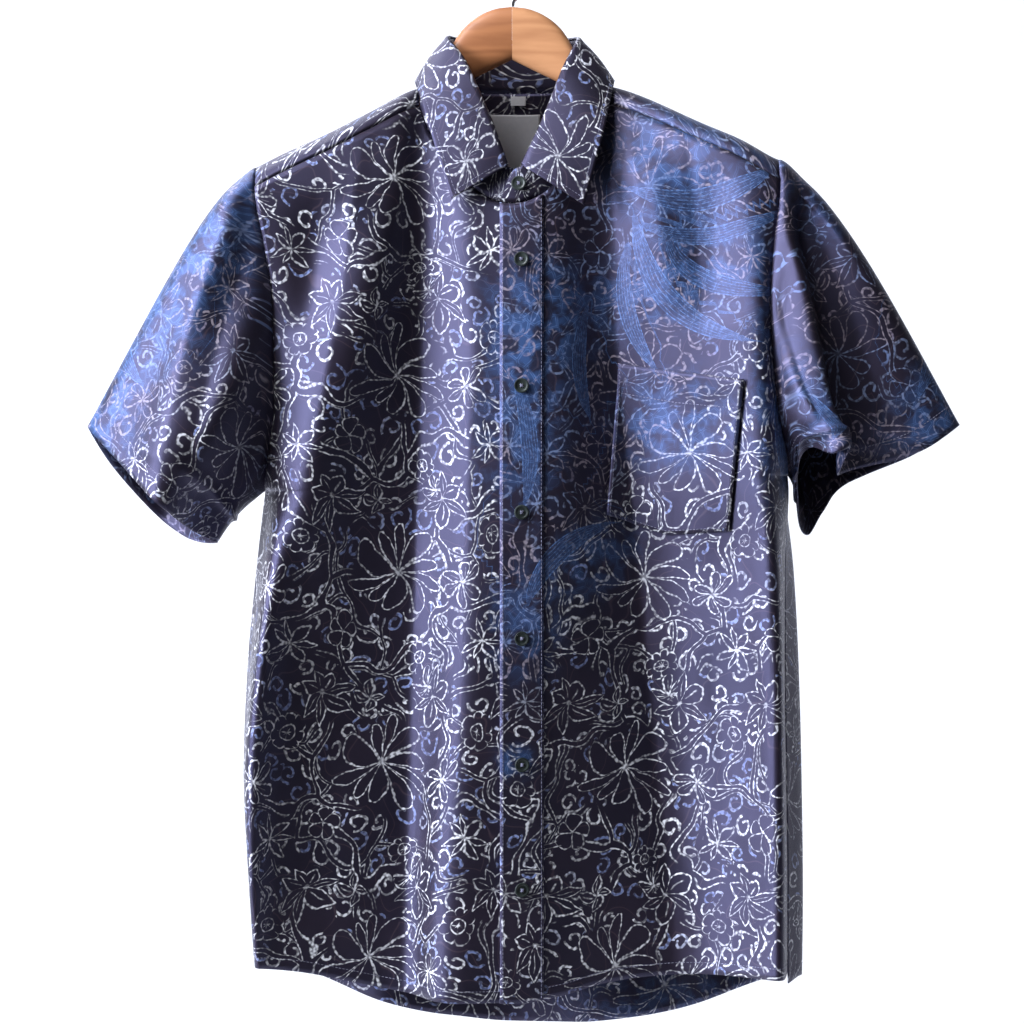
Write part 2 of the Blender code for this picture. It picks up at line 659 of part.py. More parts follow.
def tuck_at(x):
    """How far the under-lap lies behind the front's outer face."""
    return smoothstep((np.asarray(x) - TUCK_FROM) / TUCK_RUN) * (CLOTH + TUCK_GAP)


def front_walls(side):
    """Outer and inner grids of one front, its under-lap tucked behind the other."""
    outer, normals = (grid.copy() for grid in front_grid(side))
    pull_in(outer, -1, -2, SEAM / 2)
    open_vent(outer, -1, -2)
    if side == "right":
        outer -= normals * tuck_at(outer[..., 0])[..., None]
    return outer, outer - normals * CLOTH


def build_fronts(cloth):
    for side in ("right", "left"):
        outer, inner = front_walls(side)
        wall_solid(f"front_{side}", outer, inner, cloth)


# ---------------------------------------------------------------- placket, pocket, buttons


def lay_on_front(name, xs, drops, thickness, mat, lift=LAY):
    """A flat piece made from the front's own points, moved out from it."""
    base, normal = front_at(xs, drops)
    return wall_solid(name, base + normal * (lift + thickness), base + normal * lift, mat)


def build_placket(cloth):
    xs = np.linspace(PLACKET_EDGE - LAY, PLACKET_EDGE + PLACKET_WIDTH, PLACKET_COLUMNS + 1)
    tops = front_top_drop(xs) + PLACKET_TOP_GAP
    shares = np.linspace(0.0, 1.0, PLACKET_ROWS + 1)[:, None]
    drops = tops + (front_hem_drop(xs) - tops) * shares
    lay_on_front("placket", np.broadcast_to(xs, drops.shape), drops, TRIM, cloth)


def build_pocket(cloth):
    across = np.linspace(0.0, 1.0, POCKET_COLUMNS + 1)[None, :, None]
    down = np.linspace(0.0, 1.0, POCKET_ROWS + 1)[:, None, None]
    top = np.array(POCKET_TOP_IN) * (1 - across) + np.array(POCKET_TOP_OUT) * across
    low = np.array(POCKET_LOW_IN) * (1 - across) + np.array(POCKET_LOW_OUT) * across
    low[..., 1] += POCKET_POINT * (1.0 - np.abs(2.0 * across[..., 0] - 1.0))
    place_xd = top * (1 - down) + low * down
    lay_on_front("pocket", place_xd[..., 0], place_xd[..., 1], TRIM, cloth, POCKET_LIFT)


def build_button(name, base, normal, mat):
    """A turned button with a sunk middle, lying on the cloth along its normal."""
    axis = unit(normal)
    across = unit(np.cross(axis, np.array([0.0, 0.0, 1.0])))
    up = np.cross(across, axis)
    angles = np.linspace(0.0, 2.0 * math.pi, BUTTON_SIDES, endpoint=False)[:, None]
    spokes = across * np.cos(angles) + up * np.sin(angles)
    profile = [(r * BUTTON_RADIUS, h * BUTTON_HEIGHT) for r, h in BUTTON_PROFILE]
    rings = np.concatenate([base + axis * height + spokes * radius for radius, height in profile])
    return add_object(name, rings, tube_faces(len(profile), BUTTON_SIDES), mat)


def build_buttons(shell):
    for index in range(BUTTON_COUNT):
        drop = BUTTON_TOP_DROP + BUTTON_PITCH * index
        point, normal = front_at(BUTTON_X, drop)
        base = point + normal * (LAY + TRIM + LAY)
        build_button(f"button_{index + 1}", base, normal, shell)


# ---------------------------------------------------------------- yoke and back


def yoke_columns():
    """x of the yoke's columns: the fronts' own tops, and the back of the neck between them."""
    right = front_tops("right")[FRONT_COLUMNS_NECK:][::-1]
    left = front_tops("left")[FRONT_COLUMNS_NECK:]
    angles = np.linspace(0.0, math.pi, YOKE_NECK_COLUMNS + 1)[1:-1]
    return np.concatenate([right, -NECK_HALF * np.cos(angles), left])


def on_shoulder(x):
    return np.abs(x) >= NECK_HALF - 1e-6


def neck_back(x):
    """Neckline over the yoke between the two neck points."""
    y_side, drop_side = ridge_at(math.copysign(NECK_HALF, x))
    reach = math.sqrt(max(0.0, 1.0 - (x / NECK_HALF) ** 2))
    y = y_side + (NECK_BACK_Y - y_side) * reach
    drop = drop_side + (NECK_BACK_DROP - drop_side) * reach
    return np.array([x, y, -drop])


def yoke_ends(x):
    """A yoke column's lowest points: on the front's top edge and on the back's."""
    at_edge = abs(x) > 0.99 * SHOULDER_TIP["right" if x < 0 else "left"]
    if at_edge:
        front_u, back_u = (0.0, 1.0) if x < 0 else (1.0, 0.0)
    else:
        front_u = u_at_x(front_points, x, front_top_drop(x))
        back_u = u_at_x(back_points, x, YOKE_SEAM_DROP)
    front = front_points(front_u, front_top_drop(x))
    return front, back_points(back_u, YOKE_SEAM_DROP), front_u, back_u


def yoke_column(x):
    """Outer points of one yoke column: front seam, ridge, back seam."""
    front, low, _, _ = yoke_ends(x)
    points = []
    if on_shoulder(x):
        y_ridge, drop_ridge = ridge_at(x)
        for k in range(YOKE_FRONT_ROWS):
            angle = 0.5 * math.pi * (1.0 - k / YOKE_FRONT_ROWS)
            y = y_ridge + (front[1] - y_ridge) * math.sin(angle)
            drop = drop_ridge + (-front[2] - drop_ridge) * (1.0 - math.cos(angle))
            points.append((x, y, -drop))
        start = np.array([x, y_ridge, -drop_ridge])
        bend = np.array([x, low[1], start[2]])
    else:
        start = neck_back(x)
        points += [tuple(start)] * YOKE_FRONT_ROWS
        side = np.array([x, low[1], start[2]])
        middle = start + (low - start) * np.array(YOKE_BEND)
        bend = middle + (side - middle) * (abs(x) / NECK_HALF) ** 4
    for k in range(YOKE_BACK_ROWS + 1):
        t = k / YOKE_BACK_ROWS
        points.append(tuple(start * (1 - t) ** 2 + bend * 2 * t * (1 - t) + low * t**2))
    return np.array(points)


@functools.lru_cache(maxsize=None)
def yoke_grid():
    """Columns of the yoke with normals that match the fronts' and the back's at the seams."""
    xs = yoke_columns()
    grid = np.stack([yoke_column(x) for x in xs], axis=1)
    nudge = np.where(xs > 0, -0.8, 0.8)
    beside = np.stack([yoke_column(x + d) for x, d in zip(xs, nudge)], axis=1)
    across = (beside - grid) * np.sign(nudge)[None, :, None]
    down = np.gradient(grid, axis=0)
    flat = ~on_shoulder(xs)
    down[: YOKE_FRONT_ROWS + 1, flat] = (grid[YOKE_FRONT_ROWS + 1] - grid[YOKE_FRONT_ROWS])[None, flat]
    normals = unit(np.cross(across, down))
    for j, x in enumerate(xs):
        _, _, front_u, back_u = yoke_ends(x)
        if on_shoulder(x):
            normals[0, j] = normals_of(front_points, front_u, front_top_drop(x))
        normals[-1, j] = normals_of(back_points, back_u, YOKE_SEAM_DROP)
    return xs, grid, normals


def yoke_walls():
    """Outer and inner grids of the yoke, and the mask that cuts the neck out of it."""
    xs, outer, normals = (grid.copy() for grid in yoke_grid())
    shoulder = on_shoulder(xs)
    outer[0, shoulder] += unit(outer[1] - outer[0])[shoulder] * SEAM
    outer[-1] += unit(outer[-2] - outer[-1]) * (SEAM / 2)
    keep = []
    for i in range(outer.shape[0] - 1):
        pairs = zip(shoulder[:-1], shoulder[1:], xs[:-1] * xs[1:])
        keep.append([i >= YOKE_FRONT_ROWS or (a and b and together > 0) for a, b, together in pairs])
    return outer, outer - normals * CLOTH, keep


@functools.lru_cache(maxsize=None)
def back_grid():
    """Points and normals of the back; its columns carry on from the yoke's."""
    xs = yoke_columns()
    tops_u = np.array([float(yoke_ends(x)[3]) for x in xs])
    top_drops = np.full(len(xs), YOKE_SEAM_DROP)
    fractions = (xs - xs[0]) / (xs[-1] - xs[0])
    under = np.interp(fractions, (0.0, 1.0), (UNDERARM_DROP["right"], UNDERARM_DROP["left"]))
    points, normals, drops = panel_grid(
        back_points, back_ends, under, tops_u, top_drops, back_hem_drop, fractions
    )
    normals[:, 0] = seam_normals("right", drops[:, 0], False)
    normals[:, -1] = seam_normals("left", drops[:, -1], False)
    return points, normals


def back_walls():
    outer, normals = (grid.copy() for grid in back_grid())
    for edge, neighbour in ((0, 1), (-1, -2)):
        pull_in(outer, edge, neighbour, SEAM / 2)
        open_vent(outer, edge, neighbour)
    outer[0] += unit(outer[1] - outer[0]) * (SEAM / 2)
    return outer, outer - normals * CLOTH


def build_back(cloth):
    outer, inner = back_walls()
    wall_solid("back", outer, inner, cloth)


def build_yoke(cloth):
    outer, inner, keep = yoke_walls()
    wall_solid("yoke", outer, inner, cloth, keep=keep)


# ---------------------------------------------------------------- sleeves


def armhole_ring(side):
    """Closed ring of the body's own edge vertices, with their normals and the way out."""
    front, front_normals = front_grid(side)
    back, back_normals = back_grid()
    _, yoke, yoke_normals = yoke_grid()
    edge = 0 if side == "right" else -1
    under = UPPER_ROWS + ROUND_ROWS
    rise = slice(under - 1, 0, -1)
    over = slice(yoke.shape[0] - 1, 0, -1)
    points = [front[: under + 1, -1], back[rise, edge], yoke[over, edge]]
    points = np.concatenate(points)
    normals = [front_normals[: under + 1, -1], back_normals[rise, edge], yoke_normals[over, edge]]
    normals = np.concatenate(normals)
    along = np.roll(points, -1, axis=0) - np.roll(points, 1, axis=0)
    away = unit(np.cross(along, normals))
    sign = -1.0 if side == "right" else 1.0
    outward = np.array([sign, 0.0, 0.0]) + 0.6 * unit(points.mean(axis=0) - points)
    flip = np.sum(away * outward, axis=-1, keepdims=True) < 0.0
    return points, normals, np.where(flip, -away, away)


def shares_by_landmarks(points, ridge_index, under_index):
    """Share of the way round: the shoulder's ridge is at 0 and the underarm at one half."""
    closed = np.concatenate([points, points[:1]])
    lengths = np.concatenate([[0.0], np.cumsum(np.linalg.norm(np.diff(closed, axis=0), axis=1))])
    raw = np.mod((lengths[:-1] - lengths[ridge_index]) / lengths[-1], 1.0)
    half = raw[under_index]
    return np.where(raw <= half, raw / half * 0.5, 0.5 + (raw - half) / (1.0 - half) * 0.5)


def sleeve_folds(share, t, folds):
    """How far a ring of the sleeve stands out for its folds, at share of the way round."""
    total = np.zeros_like(share)
    for s_top, s_hem, half_width, height in folds:
        away = np.mod(share - s_top - (s_hem - s_top) * t + 0.5, 1.0) - 0.5
        total += height * np.exp(-((away / half_width) ** 2))
    return total * smoothstep(t / FOLD_FADE)


def ring_normals(outer):
    """Normals of a closed tube of rings, pointing away from its middle."""
    down = np.gradient(outer, axis=0)
    across = np.roll(outer, -1, axis=1) - np.roll(outer, 1, axis=1)
    normal = unit(np.cross(down, across))
    out = outer - outer.mean(axis=1, keepdims=True)
    flip = np.sum(normal * out, axis=(1, 2), keepdims=True) < 0.0
    return np.where(flip, -normal, normal)


def sleeve_walls(side, hem, stand_off, folds=()):
    """Outer and inner rings of a sleeve, from the armhole down to the hem."""
    points, normals, away = armhole_ring(side)
    ridge_index = int(np.argmax(points[:, 2]))
    under_index = int(np.argmin(points[:, 2]))
    share = shares_by_landmarks(points, ridge_index, under_index)
    downwards = np.array([1.0, 1.0, -1.0])
    hem_ring = periodic(SLEEVE_S, np.array(hem) * downwards, share)
    offsets = periodic(SLEEVE_S, np.array(stand_off) * downwards, share)
    fullest = periodic(SLEEVE_S, np.array(SLEEVE_FULLEST)[:, None], share)
    power = math.log(0.5) / np.log(fullest)
    start = points + away * SLEEVE_GAP
    steps = (np.arange(SLEEVE_ROWS + 1) / SLEEVE_ROWS) ** SLEEVE_ROW_EASE
    rings = [start * (1.0 - t) + hem_ring * t + offsets * np.sin(math.pi * t**power) for t in steps]
    outer = np.stack(rings)
    normal = ring_normals(outer)
    heights = np.stack([sleeve_folds(share, t, folds) for t in steps])
    outer = outer + normal * heights[..., None]
    normal = ring_normals(outer)
    normal[0] = normals
    normal[1] = unit(normal[1] + SECOND_RING_SHARE * normals)
    return outer, outer - normal * CLOTH


def build_sleeves(cloth):
    outer, inner = sleeve_walls("right", RIGHT_HEM, RIGHT_MIDDLE)
    wall_solid("sleeve_right", outer, inner, cloth, closed=True)
    outer, inner = sleeve_walls("left", LEFT_HEM, LEFT_MIDDLE, LEFT_SLEEVE_FOLDS)
    wall_solid("sleeve_left", outer, inner, cloth, closed=True)


# ---------------------------------------------------------------- collar


def collar_line(s, which):
    """Roll line ("roll") or free edge ("edge") of the collar at s, 0 to 1 round the neck."""
    first = {"roll": 1, "edge": 4}[which]
    rows, sign, at = (COLLAR_RIGHT, -1.0, s) if s <= 0.5 else (COLLAR_LEFT, 1.0, 1.0 - s)
    out, y, drop = (pchip(column(rows, 0), column(rows, first + k), at) for k in range(3))
    return np.array([sign * float(out), float(y), -float(drop)])


def neck_half(side, sign):
    """One half of the neckline, front to back, as (s, point) at each of its vertices."""
    outer, _ = front_walls(side)
    front = outer[0, : FRONT_COLUMNS_NECK + 1]
    shares = list(NECK_FRONT_S * (front[:, 0] * sign - CENTRE_OUT) / (NECK_HALF - CENTRE_OUT))
    shoulder = yoke_column(sign * NECK_HALF)[1 : YOKE_FRONT_ROWS + 1]
    step = (NECK_RIDGE_S - NECK_FRONT_S) / YOKE_FRONT_ROWS
    shares += [NECK_FRONT_S + step * (k + 1) for k in range(YOKE_FRONT_ROWS)]
    inner = [x for x in yoke_columns() if abs(x) < NECK_HALF - 1e-6 and x * sign >= -1e-6]
    inner.sort(key=abs, reverse=True)
    for x in inner:
        turn = math.acos(abs(x) / NECK_HALF) / (0.5 * math.pi)
        shares.append(NECK_RIDGE_S + (0.5 - NECK_RIDGE_S) * turn)
    return list(zip(shares, [*front, *shoulder, *(neck_back(x) for x in inner)]))


def neck_feet():
    """The stand's feet: every vertex of the neckline, with its s, right end to left end."""
    left = [(1.0 - share, point) for share, point in neck_half("left", 1.0)]
    return neck_half("right", -1.0) + [foot for foot in left[::-1] if foot[0] > 0.5 + 1e-6]


def outward_of(point):
    """Level direction away from the neck's centre."""
    return unit(np.array([point[0], point[1] - NECK_CENTRE_Y, 0.0]))


def stand_top(s):
    """Top of the stand under the roll; past the centre front its ends round downwards."""
    inside = min(max(s, 0.0), 1.0)
    top = collar_line(inside, "roll")
    past = abs(s - inside) / STAND_LAP_S
    sign = 1.0 if s < 0.5 else -1.0
    return top + STAND_END_ROUND * np.array([sign, 0.0, -past]) * min(1.0, past)


def band_normals(outer):
    """Normals of an open band round the neck, pointing away from it."""
    normal = unit(np.cross(np.gradient(outer, axis=0), np.gradient(outer, axis=1)))
    middle = outer.shape[0] // 2
    for j in range(outer.shape[1]):
        if np.dot(normal[middle, j], outward_of(outer[middle, j])) < 0.0:
            normal[:, j] *= -1.0
    return normal


def build_stand(cloth):
    """Band from the neck seam up to just under the roll, its left end over the right one."""
    outer = []
    for s, foot in neck_feet():
        top = stand_top(s)
        top[1] += tuck_at(foot[0]) if s < 0.5 else 0.0
        out = outward_of(top)
        rise = unit(top - foot)
        rows = []
        for t in STAND_STEPS:
            point = (foot + rise * STAND_LIFT) * (1 - t) + (top - np.array([0, 0, STAND_ROOM])) * t
            rows.append(point + out * (STAND_BOW * math.sin(math.pi * t) - STAND_LEAN * t))
        outer.append(rows)
    outer = np.array(outer).transpose(1, 0, 2)
    wall_solid("collar_stand", outer, outer - band_normals(outer) * TRIM, cloth)


def build_fall(cloth):
    """Folded-over leaf of the collar, from the roll above the stand out to its free edge."""
    columns = []
    up = np.array([0.0, 0.0, 1.0])
    for s in np.linspace(0.0, 1.0, COLLAR_COUNT + 1):
        roll = collar_line(s, "roll")
        edge = collar_line(s, "edge")
        out = outward_of(roll)
        rows = [roll + out * aside + up * above for aside, above in ROLL_STEPS]
        start = roll + out * FALL_START[0] + up * FALL_START[1]
        for k in range(1, FALL_ROWS + 1):
            t = k / FALL_ROWS
            bow = FALL_BOW * math.sin(math.pi * t) * (1.0 - 0.4 * t)
            rows.append(start * (1 - t) + edge * t + out * bow)
        columns.append(rows)
    outer = np.array(columns).transpose(1, 0, 2)
    wall_solid("collar_fall", outer, outer - band_normals(outer) * TRIM, cloth)


# ---------------------------------------------------------------- labels, hanger, hook


def yoke_inside(x, t):
    """Point on the yoke's outer face behind the neck, and the direction into the shirt."""
    points = yoke_column(x)[YOKE_FRONT_ROWS:]
    along = t * YOKE_BACK_ROWS
    i = min(int(along), YOKE_BACK_ROWS - 1)
    run = points[i + 1] - points[i]
    inward = unit(np.cross(np.array([1.0, 0.0, 0.0]), run))
    return points[i] + run * (along - i), -inward if inward[1] > 0.0 else inward


def build_label(name, x_middle, half_width, t_top, t_low, tape):
    """A flat tape made from the yoke's own points, moved inwards."""
    back = np.zeros((LABEL_STEPS, LABEL_STEPS, 3))
    face = np.zeros((LABEL_STEPS, LABEL_STEPS, 3))
    for i, down in enumerate(np.linspace(t_top, t_low, LABEL_STEPS)):
        for j, across in enumerate(np.linspace(-half_width, half_width, LABEL_STEPS)):
            point, inward = yoke_inside(x_middle + across, down)
            back[i, j] = point + inward * (CLOTH + LABEL_LIFT)
            face[i, j] = back[i, j] + inward * LABEL_WALL
    wall_solid(name, face, back, tape)


def build_arm(name, sign, wood):
    """One half of the hanger: rounded sections lofted from the centre joint to the end."""
    rings = []
    for out, top, bottom, y, half_width in ARM_ROWS:
        middle = 0.5 * (top + bottom) - float(left_rise(sign * out))
        half_height = 0.5 * (bottom - top)
        ring = []
        for k in range(ARM_SIDES):
            angle = 2.0 * math.pi * (k + 0.5) / ARM_SIDES
            c, s = math.cos(angle), math.sin(angle)
            power = 2.0 / ARM_SQUARENESS
            wide = math.copysign(abs(c) ** power, c) * half_width
            tall = math.copysign(abs(s) ** power, s) * half_height
            ring.append((sign * out, y + wide, -middle + tall))
        rings.append(ring)
    add_object(name, np.array(rings).reshape(-1, 3), tube_faces(len(rings), ARM_SIDES), wood)


def hook_path():
    """Centre line of the wire: stem, a swing out to one side, the bend over the rail, the tip."""
    radius = HOOK_BEND_RADIUS + WIRE_RADIUS
    centre_z = HOOK_RISE - HOOK_BEND_RADIUS
    path = [(0.0, HOOK_GAP), *HOOK_STEM]
    for angle in np.radians(np.linspace(*HOOK_TURN, HOOK_STEPS)):
        path.append((radius * math.cos(angle), centre_z + radius * math.sin(angle)))
    return path


def build_hook(steel):
    curve = bpy.data.curves.new("hook", "CURVE")
    curve.dimensions = "3D"
    curve.bevel_depth = WIRE_RADIUS * MM
    curve.bevel_resolution = 2
    curve.use_fill_caps = True
    spline = curve.splines.new("POLY")
    path = hook_path()
    spline.points.add(len(path) - 1)
    for point, (x, z) in zip(spline.points, path):
        point.co = (x * MM, 0.0, (z - HOOK_RISE) * MM, 1.0)
    curve.materials.append(steel)
    obj = bpy.data.objects.new("hook", curve)
    bpy.context.collection.objects.link(obj)


def build_collar_button(shell):
    foot, _ = front_at(COLLAR_BUTTON_X, front_top_drop(COLLAR_BUTTON_X))
    base = 0.5 * (foot + collar_line(1.0, "roll")) + np.array([0.0, -COLLAR_BUTTON_FORWARD, 0.0])
    build_button("button_collar", base, np.array([0.0, -1.0, COLLAR_BUTTON_TILT]), shell)


def main():
    for obj in list(bpy.data.objects):
        bpy.data.objects.remove(obj, do_unlink=True)
    cloth = material("batik_cotton", (0.05, 0.045, 0.07), 0.85)
    tape = material("label_tape", (0.72, 0.73, 0.72), 0.8)
    shell = material("button_resin", (0.06, 0.08, 0.08), 0.35)
    wood = material("hanger_wood", (0.55, 0.27, 0.12), 0.45)
    steel = material("hook_steel", (0.75, 0.75, 0.76), 0.25, metallic=1.0)
    build_fronts(cloth)
    build_placket(cloth)
    build_pocket(cloth)
    build_back(cloth)
    build_yoke(cloth)
    build_sleeves(cloth)
    build_stand(cloth)
    build_fall(cloth)
    build_buttons(shell)
    build_collar_button(shell)
    for row in LABELS:
        build_label(*row, tape)
    build_arm("hanger_right", -1.0, wood)
    build_arm("hanger_left", 1.0, wood)
    build_hook(steel)


main()
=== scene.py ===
"""Visual model of the batik shirt on its wooden hanger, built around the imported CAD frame.

Sizes are in millimetres, as in the CAD source: "x" runs across (+X is the wearer's left), "y"
from front to back, and "drop" is how far a point lies below the top of the hanger's wooden
head. place() turns them into the frame's metres.
"""

import functools
import math

import bmesh
import bpy
import numpy as np
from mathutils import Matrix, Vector


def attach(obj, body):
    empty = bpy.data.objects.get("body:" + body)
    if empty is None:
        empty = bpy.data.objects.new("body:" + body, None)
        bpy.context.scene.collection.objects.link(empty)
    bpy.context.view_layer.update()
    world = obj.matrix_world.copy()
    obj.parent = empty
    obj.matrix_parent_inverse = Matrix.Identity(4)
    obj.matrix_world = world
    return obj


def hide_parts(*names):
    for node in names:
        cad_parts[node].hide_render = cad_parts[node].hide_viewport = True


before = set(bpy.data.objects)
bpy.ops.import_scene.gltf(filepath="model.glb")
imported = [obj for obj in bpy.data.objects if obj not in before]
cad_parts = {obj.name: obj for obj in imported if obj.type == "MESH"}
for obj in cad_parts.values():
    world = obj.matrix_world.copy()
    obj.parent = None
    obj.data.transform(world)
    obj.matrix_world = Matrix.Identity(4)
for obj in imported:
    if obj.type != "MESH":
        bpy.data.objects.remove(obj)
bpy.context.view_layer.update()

MM = 0.001

# ---------------------------------------------------------------- the CAD's sizes, repeated

# Driving sizes, mm
HOOK_RISE = 48.0           # rail line to the top of the wooden head
CLOTH = 0.9                # thickness of the cloth
TRIM = 1.0                 # collar, placket and pocket, which are doubled
SEAM = 0.4                 # gap between pieces that meet edge to edge
LAY = 0.4                  # gap between a piece and the panel that it lies on

POCKET_LIFT = 1.5          # the pocket stands a little further off
TUCK_GAP = 1.3             # gap between the two fronts under the placket
SLEEVE_GAP = 0.2           # gap between a sleeve and the armhole

NECK_HALF = 72.0           # centre line to the neck point on the shoulder
NECK_BACK_Y = 46.0
NECK_CENTRE_Y = 2.0
NECK_BACK_DROP = 62.0
SHOULDER_TIP = {"right": 195.6, "left": 203.6}
SIDE_SEAM_Y = {"right": -6, "left": -10}
YOKE_FALL = 17.0           # front yoke seam, below the shoulder's ridge
YOKE_SEAM_DROP = 152.0     # back yoke seam
YOKE_BEND = (1, 0.72, 0.34)   # how early the back of the yoke goes out and down
FRONT_NECK_DROP = 158.0    # neckline at the centre front
UNDERARM_DROP = {"right": 378, "left": 366}
ARMHOLE_ROUND = 66.0       # height over which an armhole's two edges round into the underarm
SHARE_OVER = 25.0          # height over which the edge normals of front and back merge
EVEN_BY = 220.0            # the panels' columns are evened out this far below their tops

PLACKET_EDGE = -9.0        # free edge of the placket, on the wearer's right of the centre
PLACKET_WIDTH = 33.0
PLACKET_TOP_GAP = 0.6      # the placket starts this far below the neckline
UNDERLAP_EDGE = 20.0       # hidden edge of the panel under the placket
TUCK_FROM = -40.0          # the under-lap starts to sink behind the other front here
TUCK_RUN = 26.0            # and has sunk in full this much further on
BUTTON_X = 7.0
BUTTON_TOP_DROP = 201.0
BUTTON_PITCH = 96.5
BUTTON_COUNT = 6
BUTTON_RADIUS = 5.7
BUTTON_HEIGHT = 2.4
COLLAR_BUTTON_X = 3.0
COLLAR_BUTTON_FORWARD = 0.65   # the collar's button stands this far in front of the stand
COLLAR_BUTTON_TILT = 0.15

# Shoulder ridge from the neck point to the sleeve, as (out, y, drop)
RIDGE_ROWS = (
    (60, 0, 60),
    (76, -3, 65),
    (110, -9, 83.5),
    (150, -22, 105.5),
    (180, -34, 119),
    (210, -44, 130),
)
# The left shoulder rides higher, as (out, rise)
LEFT_RISE = ((60, 0), (76, 2.5), (110, 8.5), (150, 10.5), (180, 11), (210, 11))

# Front sections as (drop, x of each line, y of each line). The lines run from the wearer's
# right edge to the left one: edge, crest, hollow, fly, fly, hollow, crest, edge.
FRONT_ROWS = (
    (60, (-197, -84, -62, -20, 22, 60, 178, 205), (-50, -18, -12, -22, -22, -12, -48, -50)),
    (100, (-197, -90, -64, -20, 23, 62, 182, 205), (-57, -38, -26, -36, -35, -26, -58, -58)),
    (145, (-196, -98, -66, -21, 24, 66, 186, 204), (-60, -54, -39, -49, -48, -38, -63, -60)),
    (190, (-189, -108, -68, -21, 25, 71, 187, 199), (-58, -60, -38, -54, -52, -36, -65, -60)),
    (233, (-183, -120, -69, -22, 26, 76, 187, 197), (-55, -63, -36, -55, -53, -33, -66, -60)),
    (307, (-182, -141, -70, -22, 27, 88, 190, 202), (-50, -65, -32, -57, -54, -28, -67, -54)),
    (378, (-192, -161, -73, -24, 28, 97, 196, 215), (-8, -65, -28, -57, -53, -22, -66, -8)),
    (439, (-199, -176, -77, -26, 27, 106, 201, 212), (-6, -62, -25, -57, -51, -17, -63, -10)),
    (517, (-206, -192, -79, -32, 22, 113, 204, 212), (-6, -58, -22, -57, -48, -13, -61, -10)),
    (596, (-209, -201, -81, -40, 15, 119, 205, 213), (-6, -54, -19, -55, -45, -9, -59, -10)),
    (684, (-204, -198, -83, -48, 8, 127, 206, 214), (-6, -50, -16, -52, -42, -6, -57, -10)),
    (780, (-198, -192, -84, -52, 4, 132, 206, 214), (-6, -47, -16, -49, -40, -5, -54, -10)),
)

# Back sections in the same form, from the left side seam round to the right one: edge, hip,
# crest, hollow, spine, hollow, crest, hip, edge.
BACK_ROWS = (
    (60, (205, 190, 150, 82, 0, -80, -146, -184, -197), (-24, -10, 8, 30, 38, 30, 8, -10, -24)),
    (152, (203, 188, 150, 82, 0, -80, -146, -182, -195), (-14, 2, 24, 44, 53, 44, 24, 2, -14)),
    (233, (197, 188, 152, 80, 4, -78, -148, -176, -183), (18, 36, 58, 56, 66, 55, 56, 36, 18)),
    (307, (202, 200, 156, 78, 6, -76, -150, -178, -182), (28, 48, 74, 60, 76, 58, 72, 48, 28)),
    (378, (215, 214, 160, 84, 6, -80, -154, -194, -192), (-8, 30, 78, 62, 80, 60, 77, 30, -8)),
    (439, (212, 222, 166, 88, 4, -84, -156, -198, -199), (-10, 28, 78, 60, 80, 58, 78, 28, -6)),
    (517, (212, 226, 170, 92, 0, -88, -160, -204, -206), (-10, 26, 77, 56, 79, 55, 77, 26, -6)),
    (596, (213, 228, 172, 95, -4, -92, -164, -206, -209), (-10, 24, 76, 53, 78, 52, 76, 24, -6)),
    (684, (214, 229, 174, 98, -8, -95, -164, -202, -204), (-10, 22, 74, 50, 76, 50, 74, 22, -6)),
    (815, (214, 227, 174, 100, -10, -97, -163, -197, -198), (-10, 20, 72, 48, 74, 48, 72, 20, -6)),
)

# Hems of the front and the back, as (x, drop of the cloth's edge)
FRONT_HEM = (
    (-204, 742), (-165, 747), (-126, 756), (-87, 765), (-48, 770), (6, 771), (37, 767), (69, 759),
    (100, 755), (147, 753), (216, 752),
)
BACK_HEM = (
    (-206, 747), (-150, 766), (-100, 784), (-50, 796), (0, 802), (50, 801), (100, 795), (150, 786),
    (224, 757),
)
HEM_LEVEL = 740.0          # where a panel's width is first read to find its hem
VENT_HEIGHT = 20.0         # slit at the foot of each side seam
VENT_GAP = 3.0

# Soft folds on the front, each a ridge (+) or hollow (-) along a slanted line, as
# (x at its top, drop of its top, x at its foot, drop of its foot, half width, height)
FRONT_FOLDS = (
    (-150, 150, -158, 260, 22, -7),
    (104, 110, 122, 240, 13, 5),
    (150, 130, 160, 250, 16, -5),
    (164, 300, 172, 480, 22, -4.5),
    (178, 470, 184, 640, 20, -4.5),
    (-118, 560, -124, 740, 20, 4),
    (-183, 330, -206, 800, 11, 13),
)

# Collar halves from the front (s = 0) round to the back (s = 0.5), as
# (s, then out, y and drop of the roll line, then out, y and drop of the free edge)
COLLAR = {"right": (
    (0.00, 3, -50, 128, 46, -57, 155),
    (0.07, 8, -48, 114, 50, -56, 143),
    (0.15, 14, -43, 97, 56, -53, 124),
    (0.23, 24, -34, 73, 64, -44, 97),
    (0.31, 37, -20, 44, 71, -29, 74),
    (0.38, 50, -1, 24, 76, -4, 59),
    (0.43, 47, 20, 21, 68, 28, 60),
    (0.47, 27, 36, 21, 40, 54, 67),
    (0.50, 0, 42, 21, 0, 62, 72),
), "left": (
    (0.00, 7, -51, 128, 55, -59, 160),
    (0.07, 14, -48, 113, 59, -57, 146),
    (0.15, 21, -43, 98, 64, -54, 127),
    (0.23, 30, -34, 76, 71, -45, 100),
    (0.31, 41, -20, 48, 76, -29, 76),
    (0.38, 52, -1, 25, 80, -4, 58),
    (0.43, 48, 20, 22, 70, 28, 60),
    (0.47, 28, 36, 21, 41, 54, 67),
    (0.50, 0, 42, 21, 0, 62, 72),
)}

